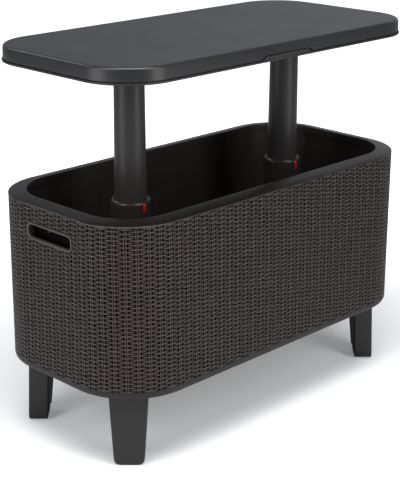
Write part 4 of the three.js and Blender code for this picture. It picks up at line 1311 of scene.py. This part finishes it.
def white_floor():
    """Floor that keeps its shadow: its diffuse part takes light and shade, and a small steady glow, seen
    only by the camera, lifts the open floor to white. Far from the table the glow grows to full white,
    like the back of a studio sweep that has lamps of its own."""
    material, tree, shader = new_material("floor_white")
    place = add(tree, "ShaderNodeTexCoord").outputs["Object"]
    soft = noise(tree, place, 0.8, 1.0)
    pale = blend_colour(tree, soft, (0.80, 0.81, 0.82, 1), (0.82, 0.83, 0.84, 1))
    distance = add(tree, "ShaderNodeVectorMath", operation="LENGTH")
    feed(tree, distance, Vector=place)
    glow = share_between(tree, distance.outputs["Value"], white_from, white_at, near_glow, 1.0)
    glow = maths(tree, "MULTIPLY", seen_by_camera(tree), glow)
    feed(tree, shader, Base_Color=pale, Roughness=0.8, Specular_IOR_Level=0.1)
    feed(tree, shader, Emission_Color=(1, 1, 1, 1), Emission_Strength=glow)
    return material


corners = np.array([[-1, -1, 0], [1, -1, 0], [1, 1, 0], [-1, 1, 0]]) * floor_reach
floor = new_object("floor", skin_mesh("floor", (corners, [(0, 1, 2, 3)]), white_floor()))

# %% Background
room_light, haze_left, haze_more_right = 0.12, 0.11, 0.16
world = bpy.data.worlds.new("studio")
world.use_nodes = True
tree = world.node_tree
background = tree.nodes["Background"]
seen = seen_by_camera(tree)
split = add(tree, "ShaderNodeSeparateXYZ")
feed(tree, split, Vector=add(tree, "ShaderNodeTexCoord").outputs["Generated"])
right, away, up = split.outputs
behind = share_between(tree, maths(tree, "ADD", right, away), 0.1, 1.0)
near_horizon = share_between(tree, up, 0.82, 0.3)
to_right = share_between(tree, maths(tree, "SUBTRACT", right, away), -0.3, 0.3)
haze = maths(tree, "ADD", maths(tree, "MULTIPLY", to_right, haze_more_right), haze_left)
sweep = maths(tree, "MULTIPLY", behind, near_horizon, haze)
room = maths(tree, "ADD", sweep, room_light)
unseen = maths(tree, "MULTIPLY", room, maths(tree, "SUBTRACT", 1.0, seen))
tint = blend_colour(tree, seen, (0.95, 0.99, 1.06, 1), (1, 1, 1, 1))
feed(tree, background, Strength=maths(tree, "ADD", unseen, seen), Color=tint)
bpy.context.scene.world = world


# %% Lamps
def soft_lamp(name, place, aim, size, power):
    """Rectangular area lamp at a place, turned to face a point."""
    data = bpy.data.lights.new(name, "AREA")
    data.shape = "RECTANGLE"
    data.size, data.size_y = size
    data.energy = power
    lamp = new_object(name, data)
    lamp.location = place
    lamp.rotation_euler = (Vector(aim) - Vector(place)).to_track_quat("-Z", "Y").to_euler()
    return lamp


soft_lamp("lamp_left", (-3.0, -0.2, 2.6), (0, 0, 0.5), (1.3, 1.6), 30)
soft_lamp("lamp_right", (0.2, -3.0, 2.6), (0, 0, 0.5), (1.3, 1.6), 30)
soft_lamp("lamp_above", (-0.6, -0.7, 3.3), (0, 0, 0.4), (2.2, 1.8), 105)
soft_lamp("strip_left", (-2.0, 0.35, 0.75), (0, 0, 0.75), (1.0, 1.45), 10)
soft_lamp("strip_right", (0.35, -2.0, 0.75), (0, 0, 0.75), (1.0, 1.45), 10)
soft_lamp("lamp_back", (-1.0, 2.5, 2.7), (-0.4, 0, 0.76), (1.4, 0.5), 12)

bpy.context.scene.view_settings.view_transform = "Standard"
